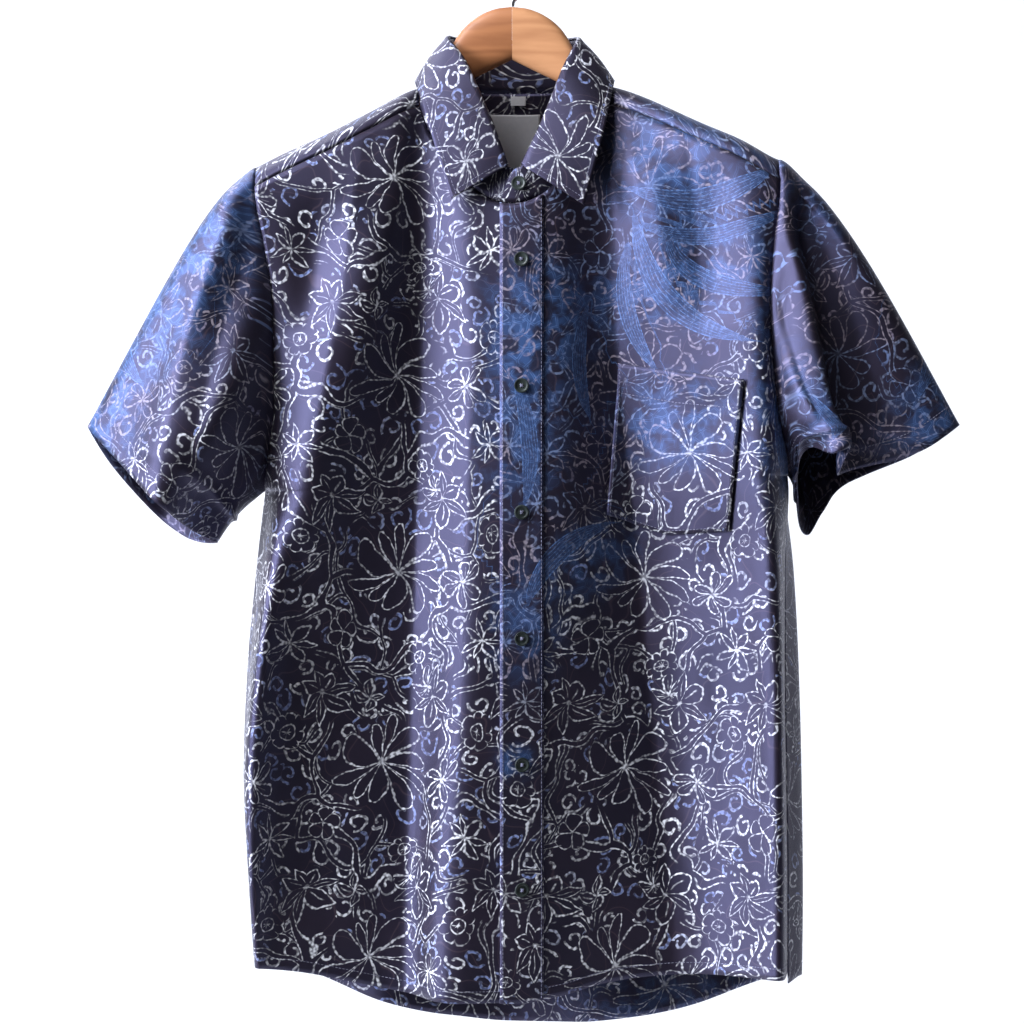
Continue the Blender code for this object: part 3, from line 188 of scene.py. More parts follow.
# Sleeves, as (s, hem, stand-off, fullest): s runs from the top over the front and back up, the
# hem and the stand-off from a straight line to it are (x, y, drop), and fullest is how far down
# the sleeve that stand-off is greatest
SLEEVE_RINGS = {"right": (
    (0, (-327, -30, 328), (-8.7, -2, -4.8), 0.28),
    (0.125, (-303, -60, 352), (-7, -9, -4), 0.30),
    (0.25, (-264, -88, 389), (-2, -16, 0), 0.45),
    (0.36, (-246, -56, 407), (-2, -3, 2), 0.45),
    (0.50, (-229, -26, 417), (-4, 0, 0), 0.45),
    (0.625, (-250, 6, 417), (-4, 3, 0), 0.45),
    (0.75, (-282, 16, 393), (-2, 12, -2), 0.45),
    (0.875, (-312, 0, 358), (-7, 8, -5), 0.30),
), "left": (
    (0, (344, -36, 327), (10, -2, -6.5), 0.30),
    (0.125, (312, -50, 348), (4, -12, -7), 0.30),
    (0.25, (272, -56, 362), (-4, -14, -4), 0.45),
    (0.34, (247, -77, 345), (2, -10, 0), 0.45),
    (0.42, (221, -42, 347), (2, -6, 0), 0.45),
    (0.50, (222, -12, 398), (3, 0, 0), 0.45),
    (0.57, (231, 3, 412), (6, 2, 0), 0.45),
    (0.66, (244, 8, 394), (6, 6, 0), 0.45),
    (0.75, (263, 10, 371), (2, 12, -2), 0.45),
    (0.875, (312, 0, 350), (8, 8, -6), 0.30),
)}
# Folds down the sleeves, as (s at the armhole, s at the hem, half width, height)
SLEEVE_FOLDS = {"right": (), "left": (
    (0.10, 0.35, 0.090, 6),
    (0.09, 0.21, 0.080, -9),
)}
FOLD_FADE = 0.3            # share of the sleeve over which a fold deepens

# Where the shoulders sink beside the hanger's ends, as (x, drop, reach across, reach down, depth)
SHOULDER_DIPS = (
    (-209, 122, 26, 70, 6),
    (206, 117, 22, 70, 7),
)

# Chest pocket on the wearer's left front: corners as (x, drop)
POCKET_TOP_IN = (82, 279)
POCKET_TOP_OUT = (177, 293)
POCKET_LOW_OUT = (167, 408)
POCKET_LOW_IN = (72, 396)
POCKET_POINT = 9.0         # how far the middle of the pocket's foot hangs lower

# Hanger arm from the centre joint to the rounded end, as
# (out, drop of the top, drop of the bottom, y, half width)
ARM_ROWS = (
    (0.2, 0, 41.3, 0, 7.5),
    (10, 1, 46.1, 0, 7.5),
    (20, 4.1, 51, 0, 7.5),
    (30, 9.8, 55.8, 0, 7.5),
    (38, 17, 59.6, 0, 7.5),
    (45, 27, 63, 0, 7.5),
    (50, 38, 65.4, 0, 7.5),
    (56, 51.5, 68.3, 0, 7.8),
    (64, 62, 73, -1, 8.2),
    (76, 68.6, 80, -3, 9),
    (110, 85.5, 100, -10, 11),
    (150, 107.5, 125, -22.5, 14),
    (178, 122.9, 141, -33, 15.5),
    (190, 131, 146.5, -38, 13),
    (194, 137, 144.5, -40, 7),
)
ARM_SQUARENESS = 2.6

WIRE_RADIUS = 1.9
HOOK_BEND_RADIUS = 19.0    # to the inside of the wire
HOOK_GAP = 0.3             # between the wire's foot and the wood
HOOK_STEM = ((0, 3), (0.4, 5.5))   # x and height of the stem above the wood
HOOK_TURN = (-58, 205)     # degrees from the start of the bend round to the tip
HOOK_STEPS = 25

CENTRE_OUT = 2.0           # the collar's s is 0 this far out from the centre
NECK_FRONT_S = 0.26        # s at the front of the yoke
NECK_RIDGE_S = 0.36        # s at the neck point on the ridge
STAND_LAP_S = 0.07
STAND_LIFT = 0.9           # gap between the neckline and the stand's foot
STAND_ROOM = 1.9           # the stand stops this far below the roll
STAND_END_ROUND = 14.0     # how far its ends run past the centre and round down
STAND_BOW = 0.8            # the band's belly outwards
STAND_LEAN = 1.4           # and its lean under the fall
# Fold over the roll, as (out, up) from the roll line
ROLL_STEPS = ((-1.6, -0.3), (-0.3, 1), (1.6, 0.5))
FALL_START = (2.6, -1.2)
FALL_BOW = 2.5             # the leaf's belly outwards

# Labels on the inside of the yoke, as
# (name, x of the middle, half width, share down the yoke of the top and of the foot)
LABELS = (
    ("neck_label", 2, 20.5, 0.24, 0.73),
    ("size_tag", 5, 6, 0.03, 0.14),
)
LABEL_LIFT = 1.1
LABEL_WALL = 0.6


# ---------------------------------------------------------------- sizes of the finish

# Sharper creases on the fronts, each a ridge (+) or valley (-) along a slanted line, as
# (x at its top, drop of its top, x at its foot, drop of its foot, half width, height)
FRONT_CREASES = (
    (-66, 120, -84, 790, 11, -4.5),
    (68, 150, 131, 790, 11, -4.5),
    (-112, 95, -160, 420, 14, 3),
    (-100, 560, -88, 790, 13, 2.5),
    (88, 90, 104, 210, 9, 3),
    (70, 100, 84, 230, 8, -2),
    (134, 100, 146, 260, 12, -3),
    (172, 380, 178, 520, 9, -2.5),
    (190, 420, 196, 640, 8, 2),
    (150, 470, 176, 700, 14, -2.5),
    (-186, 360, -150, 470, 12, -3),
    (-180, 520, -172, 700, 15, 2.5),
    (-30, 250, -46, 600, 9, 1.8),
)
# The same on the back
BACK_CREASES = (
    (-40, 160, -70, 520, 16, -5),
    (52, 160, 40, 620, 15, -5),
    (-120, 260, -128, 790, 18, 4.5),
    (120, 300, 134, 800, 17, -4.5),
    (0, 420, -6, 810, 14, 4),
    (-186, 340, -176, 560, 13, -3),
    (182, 330, 190, 560, 13, 3),
    (90, 200, 96, 420, 12, 3),
)
SLEEVE_SHARPNESS = 1.5
CREASE_FADE = 0.14         # share of a sleeve over which its creases deepen
CREASE_SHARPNESS = 1.0     # 2 is a round ridge, 1 one that comes to an edge
# Creases down the sleeves, as their folds are given
SLEEVE_CREASES = {"right": (
    (0.06, 0.24, 0.050, 9),
    (0.12, 0.30, 0.045, -5),
    (0.40, 0.46, 0.050, 4),
    (0.99, 0.06, 0.035, 2.5),
    (0.80, 0.72, 0.060, 5),
    (0.68, 0.62, 0.060, -5),
), "left": (
    (0.11, 0.335, 0.030, 10),
    (0.065, 0.26, 0.060, -18),
    (0.20, 0.40, 0.035, -3),
    (0.99, 0.10, 0.045, 3),
    (0.82, 0.78, 0.060, 5),
    (0.68, 0.70, 0.060, -5),
)}

SLEEVE_GIRTH = 400.0       # round a sleeve, and down it, for its print
SLEEVE_LENGTH = 280.0
NECK_GIRTH = 400.0
KNOT_REACH = 0.03          # share of a panel's width over which its guide lines are blended
EDGE_CALM = 0.06           # the creases fade out this close to a panel's edges
SEAM_BLEND_ROWS = 7.0      # rows over which a sleeve takes over from the body's own normals
POCKET_MOUTH = 2.0         # the pocket's mouth stands this much further open in its middle
PLUME_STEPS = 80
RIPPLE = 0.35

# The print's attributes on each piece of cloth: blue dye, strength of the white lines, place
# across the nearest plume (beyond -1 to 1 is outside it) and along it
DYE = ("blue", "white", "plume", "plume_run")
PLAIN_DYE = {"blue": 0, "white": 1, "plume": 9, "plume_run": 0}
# How far each piece's print is shifted on its cloth, mm
PRINT_SHIFT = {
    "front_right": (-66, -11),
    "front_left": (55, -5),
    "placket": (62, 33),
    "pocket": (20, 48),
    "back": (31, 20),
    "yoke": (80, 12),
    "sleeve_right": (12, 40),
    "sleeve_left": (96, 8),
    "collar_stand": (15, 60),
    "collar_fall": (40, 26),
}
# Patches of blue dye, as (x, drop, half width, half height, tilt in degrees, amount)
BLUES = {"front": (
    (120, 130, 46, 40, 20, 0.8),
    (20, 250, 38, 50, 0, 0.8),
    (8, 330, 30, 60, 0, 0.6),
    (128, 215, 75, 30, -20, 0.7),
    (125, 325, 42, 34, 0, 0.75),
    (210, 290, 26, 90, 0, 0.7),
    (60, 430, 34, 26, -30, 0.6),
    (10, 480, 26, 40, 0, 0.5),
    (2, 585, 14, 12, 0, 0.7),
), "back": (
    (120, 240, 80, 60, 30, 0.8),
    (-60, 380, 70, 50, 0, 0.4),
    (150, 420, 60, 60, 0, 0.6),
    (150, 785, 90, 26, 0, 0.5),
    (-160, 700, 40, 50, 0, 0.4),
), "yoke": (
    (150, 100, 60, 40, 0, 0.45),
    (40, 130, 40, 30, 0, 0.2),
), "sleeve_right": (
    (20, 126, 40, 84, 0, 0.8),
    (8, 252, 48, 44.8, 0, 0.9),
    (24, 33.6, 40, 56, 0, 0.5),
), "sleeve_left": (
    (120, 154, 28, 112, 0, 0.5),
    (0, 33.6, 28, 56, 0, 0.4),
    (8, 260.4, 56, 39.2, 0, 0.7),
)}
BLUE_MOST = 1.3
# Share of the white lines' strength that is lost on the blue side, and on some pieces instead
BLUE_SIDE_LOSS = 0.78
WHITE_LOSS = {"back": 0.7, "yoke": 0.7, "sleeve_right": 0.7, "sleeve_left": 0.88}
HEM_WHITER = 3 / 22        # how much of that loss the left sleeve makes up down to its hem
# The blue side of each piece, as (x that it starts at, reach, drop that it ends at, how much
# higher for each mm of x, reach)
BLUE_SIDES = {
    "front_right": (999, 1, 0, 0, 1),
    "front_left": (-14, 24, 440, 1.15, 60),
    "pocket": (-14, 24, 440, 1.15, 60),
    "placket": (-999, 1, 500, 0, 80),
    "back": (20, 60, 430, 0, 80),
    "yoke": (50, 50, 999, 0, 1),
}
# Plumes, as (start, bend, end, half width); places are (x, drop), as for the patches. On the
# sleeves x is the way round from the top over the front, and drop the way down.
PLUMES = {"front": (
    ((196, 128), (150, 172), (92, 146), 8),
    ((208, 158), (150, 200), (98, 172), 6),
    ((94, 168), (104, 246), (176, 262), 8),
    ((118, 182), (130, 226), (206, 226), 7),
    ((88, 190), (78, 240), (110, 284), 6),
    ((215, 262), (200, 320), (214, 380), 7),
    ((12, 462), (28, 418), (72, 404), 7),
    ((2, 292), (20, 340), (10, 386), 6),
    ((58, 236), (44, 280), (60, 322), 5),
), "back": (
    ((196, 150), (140, 200), (76, 178), 8),
    ((204, 186), (150, 240), (92, 226), 7),
    ((70, 190), (74, 270), (150, 318), 8),
    ((110, 214), (126, 270), (200, 280), 6),
    ((46, 220), (30, 290), (66, 350), 6),
    ((204, 320), (180, 380), (120, 404), 8),
    ((40, 400), (72, 436), (128, 424), 7),
), "sleeve_right": (
    ((-26, 70), (6, 110), (-20, 160), 8),
    ((-30, 190), (0, 215), (40, 205), 8),
), "sleeve_left": (
    ((118, 120), (108, 180), (132, 235), 8),
    ((-20, 240), (0, 215), (28, 235), 8),
)}

STITCH_PITCH = 2.9
STITCH_RADIUS = 0.26
STITCH_SHAPE = ((0.12, 0.35), (0.3, 0.9), (0.5, 1), (0.7, 0.9), (0.88, 0.35))   # place, thickness
STITCH_SUNK = 0.75         # share of its radius by which a stitch lies in the cloth
STITCH_SIDES = 5
PLACKET_STITCH_TOP = 3.0   # the placket's stitching ends this far inside its top and foot
PLACKET_STITCH_FOOT = 1.5
PLACKET_STITCH_STEPS = 320
POCKET_STITCH_STEPS = (60, 80)   # down each stretch of its edge, and along its mouth
PLACKET_STITCH_IN = 1.8
POCKET_STITCH_IN = 0.022   # share of the pocket's width or height
POCKET_HEM = 0.19
COLLAR_STITCH_IN = 4.5
HEM_STITCH_UP = 9.0

# Turned outline of a button from its back round to its sunk middle, in shares of its size
BUTTON_TURNING = (
    (0.55, 0), (0.86, 0.06), (0.97, 0.28), (1, 0.52), (0.985, 0.78), (0.93, 0.95),
    (0.86, 1), (0.78, 0.97), (0.70, 0.86), (0.62, 0.76), (0.55, 0.74),
)
BUTTON_RIM_SIDES = 48
HOLE_SIDES = 12
HOLE_OFF = 1.15
HOLE_RADIUS = 0.55
THREAD_RADIUS = 0.24
THREAD_SIDES = 6
THREAD_STEPS = 9
THREAD_BOW = 0.35          # how far a thread stands off between its holes, and dips into them
THREAD_DIP = 0.9
ARM_RINGS = 60
ARM_JOINT = 0.04           # the halves meet this far from the centre
ARM_FINE_SIDES = 40
HOOK_FINE_STEPS = 120
HOOK_SMOOTHING = 12
HOOK_SIDES = 16
LABEL_GRID = 24

SLEEVE_HEM_UP = 17.0

# The photograph's frame: metres a pixel at the shirt, and the row that the wood's top is on
PIXEL = 0.00078
WOOD_ROW = 7
IMAGE = 1024
CAMERA_AWAY = 2.5
CAMERA_Z = -HOOK_RISE * MM - (IMAGE / 2 - WOOD_ROW) * PIXEL
CAMERA_ANGLE = 2.0 * math.atan(0.5 * IMAGE * PIXEL / CAMERA_AWAY)

STAGE_HALF = 9.0
STAGE_NEAR = 0.4
STAGE_DEPTH = 3.0
STAGE_BEND = 1.2
STAGE_WALL = 7.0
STAGE_FLOOR = -1.45
WORLD_COLOUR = (1, 1, 1, 1)
WORLD_STRENGTH = 0.075
# Lights as (name, place, aim, size, watts, colour)
LIGHTS = (
    ("key", (-3.1, -1.6, 0.45), (0, 0, -0.45), (1.2, 2.2), 305, (0.82, 0.87, 1)),
    ("top", (-1.7, -1.6, 2.3), (0, 0, -0.3), (1.6, 1.6), 128, (0.92, 0.94, 1)),
    ("rim", (-1.5, 1.5, 2.1), (-0.1, 0, -0.1), (1.2, 1.2), 50, (0.88, 0.91, 1)),
)

TURN = 2.0 * math.pi
TILE_X, TILE_Y = 165, 150      # the print's repeat
# Flowers of the repeat, as (x, drop, petals, radius, turn in degrees, half width of a petal,
# pointedness, how much the petals differ in length, inner ring, veins, lean of the petals)
FLOWERS = (
    (0, 0, 10, 43, 10, 5.4, 0, 0.34, 0, 0, 0.35),
    (58, 10, 6, 21, 35, 4, 0, 0.25, 0, 0.3, -0.3),
    (21, 68, 8, 11.5, 0, 3.4, 0, 0, 1, 0, 0),
    (38, 95, 6, 27, 20, 5.2, 1, 0.3, 0, 1, 0.25),
    (80, 54, 7, 21, 5, 2.6, 1, 0.35, 0, 0, 0),
    (83, -28, 7, 13.5, 12, 4.6, 0, 0, 1, 0, 0),
    (-43, 46, 5, 14.5, 50, 5.6, 0, 0.1, 0, 0, 0.2),
    (-55, -56, 7, 29, 0, 5, 1, 0.45, 0, 1, -0.3),
    (-16, 96, 4, 15, 70, 3.4, 1, 0.3, 0, 1, 0.5),
    (30, -62, 5, 16, 20, 3.6, 0, 0.3, 0, 0.4, 0.4),
)
CURL_PITCH = 17.5
CURL_START = 2.8
VINE_PITCH = 70.0
VINE_GAP = 2.4
TWIG_PITCH = 52.0
LINE_SOFT = 0.28
WEAVE = 12.0
GROUND_DARK = (0.005, 0.0035, 0.005, 1)
GROUND_PALE = (0.015, 0.009, 0.012, 1)
BROWN_LINE = (0.07, 0.045, 0.05, 1)
WHITE_LINE = (0.86, 0.87, 0.90, 1)
BLUE_LINE = (0.24, 0.31, 0.60, 1)
BLUE_THIN = (0.18, 0.27, 0.52, 1)
PINK_THIN = (0.33, 0.26, 0.32, 1)
BLUE_DYE = (0.038, 0.10, 0.26, 1)
PLUME_LINE = (0.12, 0.23, 0.50, 1)
CLOTH_FINISH = {
    "Roughness": 0.42, "Specular_IOR_Level": 1.0, "Specular_Tint": (0.56, 0.55, 1, 1),
    "Sheen_Weight": 0.02, "Sheen_Roughness": 0.5, "Sheen_Tint": (0.7, 0.7, 1, 1),
}
TAPE_RIB = 9.0
# The tape's rib hollows take TAPE_SHADE, which is painted shade; TAPE_WHITE is the tape's own white.
TAPE_SHADE = (0.80, 0.82, 0.86, 1)
TAPE_WHITE = (0.98, 0.98, 0.99, 1)

SIGN = {"right": -1.0, "left": 1.0}
SIDE_U = {"right": 0.0, "left": 1.0}   # the front's u at each side seam; the back's is 1 less this
FREE_EDGE = {"right": UNDERLAP_EDGE, "left": PLACKET_EDGE}
# u of the guide lines of the fronts and the back
FRONT_U = (0.0, 0.13, 0.34, 0.45, 0.55, 0.70, 0.92, 1.0)
BACK_U = (0.0, 0.08, 0.24, 0.37, 0.50, 0.63, 0.76, 0.92, 1.0)

HALVINGS = 26              # steps that find a place across by its x

# Mesh density
FRONT_COLUMNS_SIDE = {"right": 44, "left": 46}
FRONT_COLUMNS_NECK = 24
UPPER_ROWS = 36
ROUND_ROWS = 16
LOWER_ROWS = 92
PLACKET_ROWS = 170
PLACKET_COLUMNS = 10
YOKE_FRONT_ROWS = 8
YOKE_BACK_ROWS = 24
YOKE_NECK_COLUMNS = 40
SLEEVE_ROWS = 66
SLEEVE_ROW_EASE = 1.25
COLLAR_COUNT = 150
FALL_ROWS = 22
STAND_ROWS = 9
POCKET_COLUMNS = 28
POCKET_ROWS = 36


# ---------------------------------------------------------------- curves and small sums

def column(rows, index):
    return [row[index] for row in rows]


def floats(*values):
    return np.broadcast_arrays(*(np.asarray(value, float) for value in values))


def unit(v):
    length = np.linalg.norm(v, axis=-1, keepdims=True)
    return v / np.where(length < 1e-9, 1.0, length)


def smoothstep(t):
    t = np.clip(t, 0.0, 1.0)
    return t * t * (3.0 - 2.0 * t)


def run_along(points, axis=0):
    """Length run along one axis of some points, from 0."""
    steps = np.cumsum(np.linalg.norm(np.diff(points, axis=axis), axis=-1), axis=axis)
    return np.pad(steps, [(int(k == axis), 0) for k in range(steps.ndim)])


def between(at, run, rows):
    """Rows of numbers, one for each place of a run, read at other places along it."""
    return np.stack([np.interp(at, run, values) for values in rows.T], axis=-1)


def bend_through(a, b, c, t):
    """Parabola from a to c that heads for b."""
    return a * (1 - t) ** 2 + b * 2 * t * (1 - t) + c * t**2


def pchip(knots, values, at):
    """Smooth curve through the values that never overshoots them.

    `values` is one row of numbers, or a row of them for each entry of `at`.
    """
    knots = np.asarray(knots, float)
    at = np.clip(np.asarray(at, float), knots[0], knots[-1])
    values = np.broadcast_to(np.asarray(values, float), at.shape + knots.shape)
    step = np.diff(knots)
    slope = np.diff(values, axis=-1) / step
    before, after = slope[..., :-1], slope[..., 1:]
    same = before * after > 0.0
    w_before = 2.0 * step[1:] + step[:-1]
    w_after = step[1:] + 2.0 * step[:-1]
    mean = w_before / np.where(same, before, 1.0) + w_after / np.where(same, after, 1.0)
    inner = np.where(same, (w_before + w_after) / np.where(same, mean, 1.0), 0.0)
    tangent = np.concatenate([slope[..., :1], inner, slope[..., -1:]], axis=-1)
    i = np.clip(np.searchsorted(knots, at) - 1, 0, len(step) - 1)

    def pick(array, offset=0):
        return np.take_along_axis(array, (i + offset)[..., None], axis=-1)[..., 0]

    width = step[i]
    t = (at - knots[i]) / width
    return (
        (2 * t**3 - 3 * t**2 + 1) * pick(values)
        + (t**3 - 2 * t**2 + t) * width * pick(tangent)
        + (3 * t**2 - 2 * t**3) * pick(values, 1)
        + (t**3 - t**2) * width * pick(tangent, 1)
    )


def read(rows, at, index=1):
    """A table's column read smoothly at a value of its first one."""
    return pchip(column(rows, 0), column(rows, index), at)


def periodic(knots, values, at):
    """Smooth closed curve: Catmull-Rom through values whose knots span 0 to 1."""
    values = np.asarray(values, float)
    count = len(knots)
    spread = np.append(np.asarray(knots, float), 1.0)
    i = np.clip(np.searchsorted(spread, at, side="right") - 1, 0, count - 1)
    t = ((at - spread[i]) / (spread[i + 1] - spread[i]))[:, None]
    before, here, after, beyond = (values[(i + k) % count] for k in (-1, 0, 1, 2))
    return 0.5 * (
        2.0 * here
        + (after - before) * t
        + (2.0 * before - 5.0 * here + 4.0 * after - beyond) * t**2
        + (3.0 * here - before - 3.0 * after + beyond) * t**3
    )


# ---------------------------------------------------------------- body surfaces

LEVELS = np.arange(60.0, 816.0, 1.0)
COARSE_LEVELS = LEVELS[::3]
ACROSS = np.linspace(0.0, 1.0, 121)


def at_levels(table, drop):
    """A table with a row for each level, read at some drops."""
    place = np.clip(np.asarray(drop, float) - LEVELS[0], 0.0, len(LEVELS) - 1.001)
    i = place.astype(int)
    t = (place - i)[..., None]
    return table[i] * (1.0 - t) + table[i + 1] * t


def ridges(x, drop, table, sharpness):
    """Sum of a table's folds at (x, drop); each fades in and out along its length."""
    total = np.zeros_like(x)
    for x_top, drop_top, x_low, drop_low, half_width, height in table:
        along = np.clip((drop - drop_top) / (drop_low - drop_top), 0.0, 1.0)
        away = np.abs(x - x_top - (x_low - x_top) * along) / half_width
        total += height * np.sin(math.pi * along) ** 0.7 * np.exp(-(away**sharpness))
    return total


def ripple(x, drop):
    """Small unevenness of cloth that hangs."""
    bend = 0.9 * np.sin(drop / 57.0) + 0.5 * np.sin(drop / 23.0 + x / 40.0)
    return RIPPLE * (np.sin(x / 8.5 + bend) * np.sin(drop / 95.0 + x / 31.0) + np.sin(x / 15.0 - bend) * 0.7)


class Panel:
    """Outer face of the front or the back, whose places are (u, drop), u from edge to edge.

    It is read from guide lines across its sections; out is -1 for the front, 1 for the back.
    """

    def __init__(self, knots, rows, folds, creases, hem, out, ripple_shift):
        self.knots, self.folds, self.creases = knots, folds, creases
        self.hem, self.out, self.ripple_shift = hem, out, ripple_shift
        self.x, self.y = (self.guides(rows, which) for which in (1, 2))

    def guides(self, rows, which):
        """Guide lines at every level: levels down, lines across."""
        lines = zip(*column(rows, which))
        return np.stack([pchip(column(rows, 0), line, LEVELS) for line in lines], axis=1)

    def round_edge(self, index, side):
        """Bring an edge's depth round to the side seam at the underarm, as an ellipse's quarter."""
        start, seam_y, edge = UNDERARM_DROP[side] - ARMHOLE_ROUND, SIDE_SEAM_Y[side], self.y[:, index]
        held = np.interp(start, LEVELS, edge)
        reach = np.clip((LEVELS - start) / ARMHOLE_ROUND, 0.0, 1.0)
        rounded = seam_y + (held - seam_y) * np.sqrt(1.0 - reach**2)
        self.y[:, index] = np.where(LEVELS < start, edge, rounded)

    def points(self, u, drop):
        u, drop = floats(u, drop)
        x = pchip(self.knots, at_levels(self.x, drop), u)
        inset = np.minimum(u, 1.0 - u)
        # The depth is averaged over a little of the width, so that no knot shows
        depths = at_levels(self.y, drop)
        reach = np.minimum(inset, KNOT_REACH)
        steps = (-1.0, -0.5, 0.0, 0.5, 1.0)
        y = sum(pchip(self.knots, depths, u + reach * step) for step in steps) / len(steps)
        inside = self.out * smoothstep(inset / EDGE_CALM)
        y = y + inside * ridges(x, drop, self.folds, 2.0)
        fine = ridges(x, drop, self.creases, CREASE_SHARPNESS) + ripple(x, drop + self.ripple_shift)
        return np.stack([x, y + inside * fine, -drop], axis=-1)

    def normals(self, u, drop):
        """Outward normals, by small steps along the face."""
        step_u, step_d = 0.004, 1.5
        u = np.asarray(u, float)
        after, before = (self.points(np.clip(u + step, 0, 1), drop) for step in (step_u, -step_u))
        return unit(np.cross(self.points(u, drop + step_d) - self.points(u, drop - step_d), after - before))

    def u_at_x(self, x, drop):
        """The u whose point at that drop lies at x, by halving (x runs one way along u)."""
        x, drop = floats(x, drop)
        values = at_levels(self.x, drop)
        low, high = np.zeros(x.shape), np.ones(x.shape)
        rising = values[..., -1] > values[..., 0]
        for _ in range(HALVINGS):
            middle = 0.5 * (low + high)
            beyond = (pchip(self.knots, values, middle) > x) == rising
            high = np.where(beyond, middle, high)
            low = np.where(beyond, low, middle)
        return 0.5 * (low + high)

    def even_u(self, drops, u_from, u_to, fractions):
        """For each drop, the u at a given fraction of that level's arc length."""
        u = u_from[:, None] + (u_to - u_from)[:, None] * ACROSS
        runs = run_along(self.points(u, drops[:, None]), 1)
        return np.array([np.interp(f * run[-1], run, row) for f, run, row in zip(fractions, runs, u)])

    @functools.cached_property
    def arcs(self):
        """Arc length from the middle, at each coarse level and place across."""
        length = run_along(self.points(ACROSS[None, :], COARSE_LEVELS[:, None])[..., :2], 1)
        return length - np.array([np.interp(0.5, ACROSS, row) for row in length])[:, None]

    def flat(self, u, drop):
        """Flat-cloth place, in mm: arc across, and drop."""
        u, drop = floats(u, drop)
        level = (drop - COARSE_LEVELS[0]) / (COARSE_LEVELS[1] - COARSE_LEVELS[0])
        level = np.clip(level, 0.0, len(COARSE_LEVELS) - 1.001)
        spot = np.clip(u, 0.0, 1.0) * (len(ACROSS) - 1)
        i, j = level.astype(int), np.minimum(spot.astype(int), len(ACROSS) - 2)
        t, s = level - i, spot - j
        low, high = (self.arcs[k, j] * (1 - s) + self.arcs[k, j + 1] * s for k in (i, i + 1))
        return np.stack([-self.out * (low * (1 - t) + high * t), -drop], axis=-1)

    def grid(self, ends, under, tops_u, top_drops, fractions):
        """Points, normals, u and drops of a piece whose columns even out below its top.

        ends() is its range of u at some drops, and under each column's underarm drop.
        """
        foot_u = tops_u
        for _ in range(3):
            hems = read(self.hem, self.points(foot_u, HEM_LEVEL)[:, 0])
            foot_u = self.even_u(hems, *ends(hems), fractions)
        drops = row_drops(top_drops, under, read(self.hem, self.points(foot_u, hems)[:, 0]))
        spread = self.even_u(COARSE_LEVELS, *ends(COARSE_LEVELS), [fractions] * len(COARSE_LEVELS))
        even = [np.interp(drop, COARSE_LEVELS, line) for drop, line in zip(drops.T, spread.T)]
        u = tops_u + (np.stack(even, axis=1) - tops_u) * smoothstep((drops - top_drops) / EVEN_BY)
        return self.points(u, drops), self.normals(u, drops), u, drops


FRONT = Panel(FRONT_U, FRONT_ROWS, FRONT_FOLDS, FRONT_CREASES, FRONT_HEM, -1.0, 0.0)
BACK = Panel(BACK_U, BACK_ROWS, (), BACK_CREASES, BACK_HEM, 1.0, 57.0)
BACK.x[:, 0] = FRONT.x[:, -1]
BACK.x[:, -1] = FRONT.x[:, 0]
for panel, starts_at, ends_at in ((FRONT, "right", "left"), (BACK, "left", "right")):
    panel.round_edge(0, starts_at)
    panel.round_edge(-1, ends_at)


def front_at(x, drop):
    """Point and normal of the front's outer face at a place given by x and drop."""
    u = FRONT.u_at_x(x, drop)
    return FRONT.points(u, drop), FRONT.normals(u, np.asarray(drop, float))


def left_rise(x):
    """How much higher the shoulder is at x than the wearer's right one; 0 on the right."""
    return np.where(np.asarray(x) > 0.0, read(LEFT_RISE, x), 0.0)


def ridge_at(x):
    """Shoulder ridge above x: y and drop."""
    out = np.abs(x)
    return read(RIDGE_ROWS, out), read(RIDGE_ROWS, out, 2) - left_rise(x)


def front_top_drop(x):
    """Upper boundary of the front: the yoke seam, then the neckline towards the centre."""
    out = np.abs(x)
    on_yoke = ridge_at(x)[1] + YOKE_FALL
    shoulder = ridge_at(np.sign(x) * NECK_HALF)[1] + YOKE_FALL
    reach = np.clip(1.0 - out / NECK_HALF, 0.0, 1.0)
    on_neck = shoulder + (FRONT_NECK_DROP - shoulder) * np.sin(0.5 * math.pi * reach) ** 0.75
    return np.where(out >= NECK_HALF, on_yoke, on_neck)


def place(points):
    """Millimetres below the wooden head to metres below the rail line."""
    world = np.array(points, float)
    for x, drop, reach_x, reach_drop, depth in SHOULDER_DIPS:
        away = ((world[..., 0] - x) / reach_x) ** 2 + ((world[..., 2] + drop) / reach_drop) ** 2
        world[..., 2] -= depth * np.exp(-away)
    world[..., 2] -= HOOK_RISE
    return world * MM


# ---------------------------------------------------------------- meshes from grids

def grid_cells(rows, cols, keep, closed):
    """Faces of a grid; keep masks cells out, closed joins the last column to the first."""
    cells = []
    for i in range(rows - 1):
        for j in range(cols if closed else cols - 1):
            if keep is None or keep[i][j]:
                k = (j + 1) % cols
                cells.append((i * cols + j, i * cols + k, (i + 1) * cols + k, (i + 1) * cols + j))
    return cells


def rim_faces(cells, count):
    """Faces that join the two sides of a shell round its open edges."""
    uses = {}
    for cell in cells:
        for a, b in zip(cell, cell[1:] + cell[:1]):
            uses.setdefault(frozenset((a, b)), []).append((a, b))
    pairs = [use[0] for use in uses.values() if len(use) == 1]
    return [(b, a, a + count, b + count) for a, b in pairs]


def turn_out(mesh, build):
    """Turn the faces outwards, without the points that no face uses, and end the bmesh."""
    loose = [v for v in build.verts if not v.link_faces]
    bmesh.ops.delete(build, geom=loose, context="VERTS")
    bmesh.ops.recalc_face_normals(build, faces=build.faces)
    build.to_mesh(mesh)
    build.free()
    mesh.shade_smooth()


def finish_piece(mesh, nodes, mat):
    """Object, material, body and replaced nodes of a new piece."""
    mesh.materials.append(mat)
    obj = add_object(mesh.name, mesh)
    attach(obj, "root")
    if nodes:
        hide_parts(*nodes)
    return obj


def add_object(name, data):
    obj = bpy.data.objects.new(name, data)
    bpy.context.collection.objects.link(obj)
    return obj


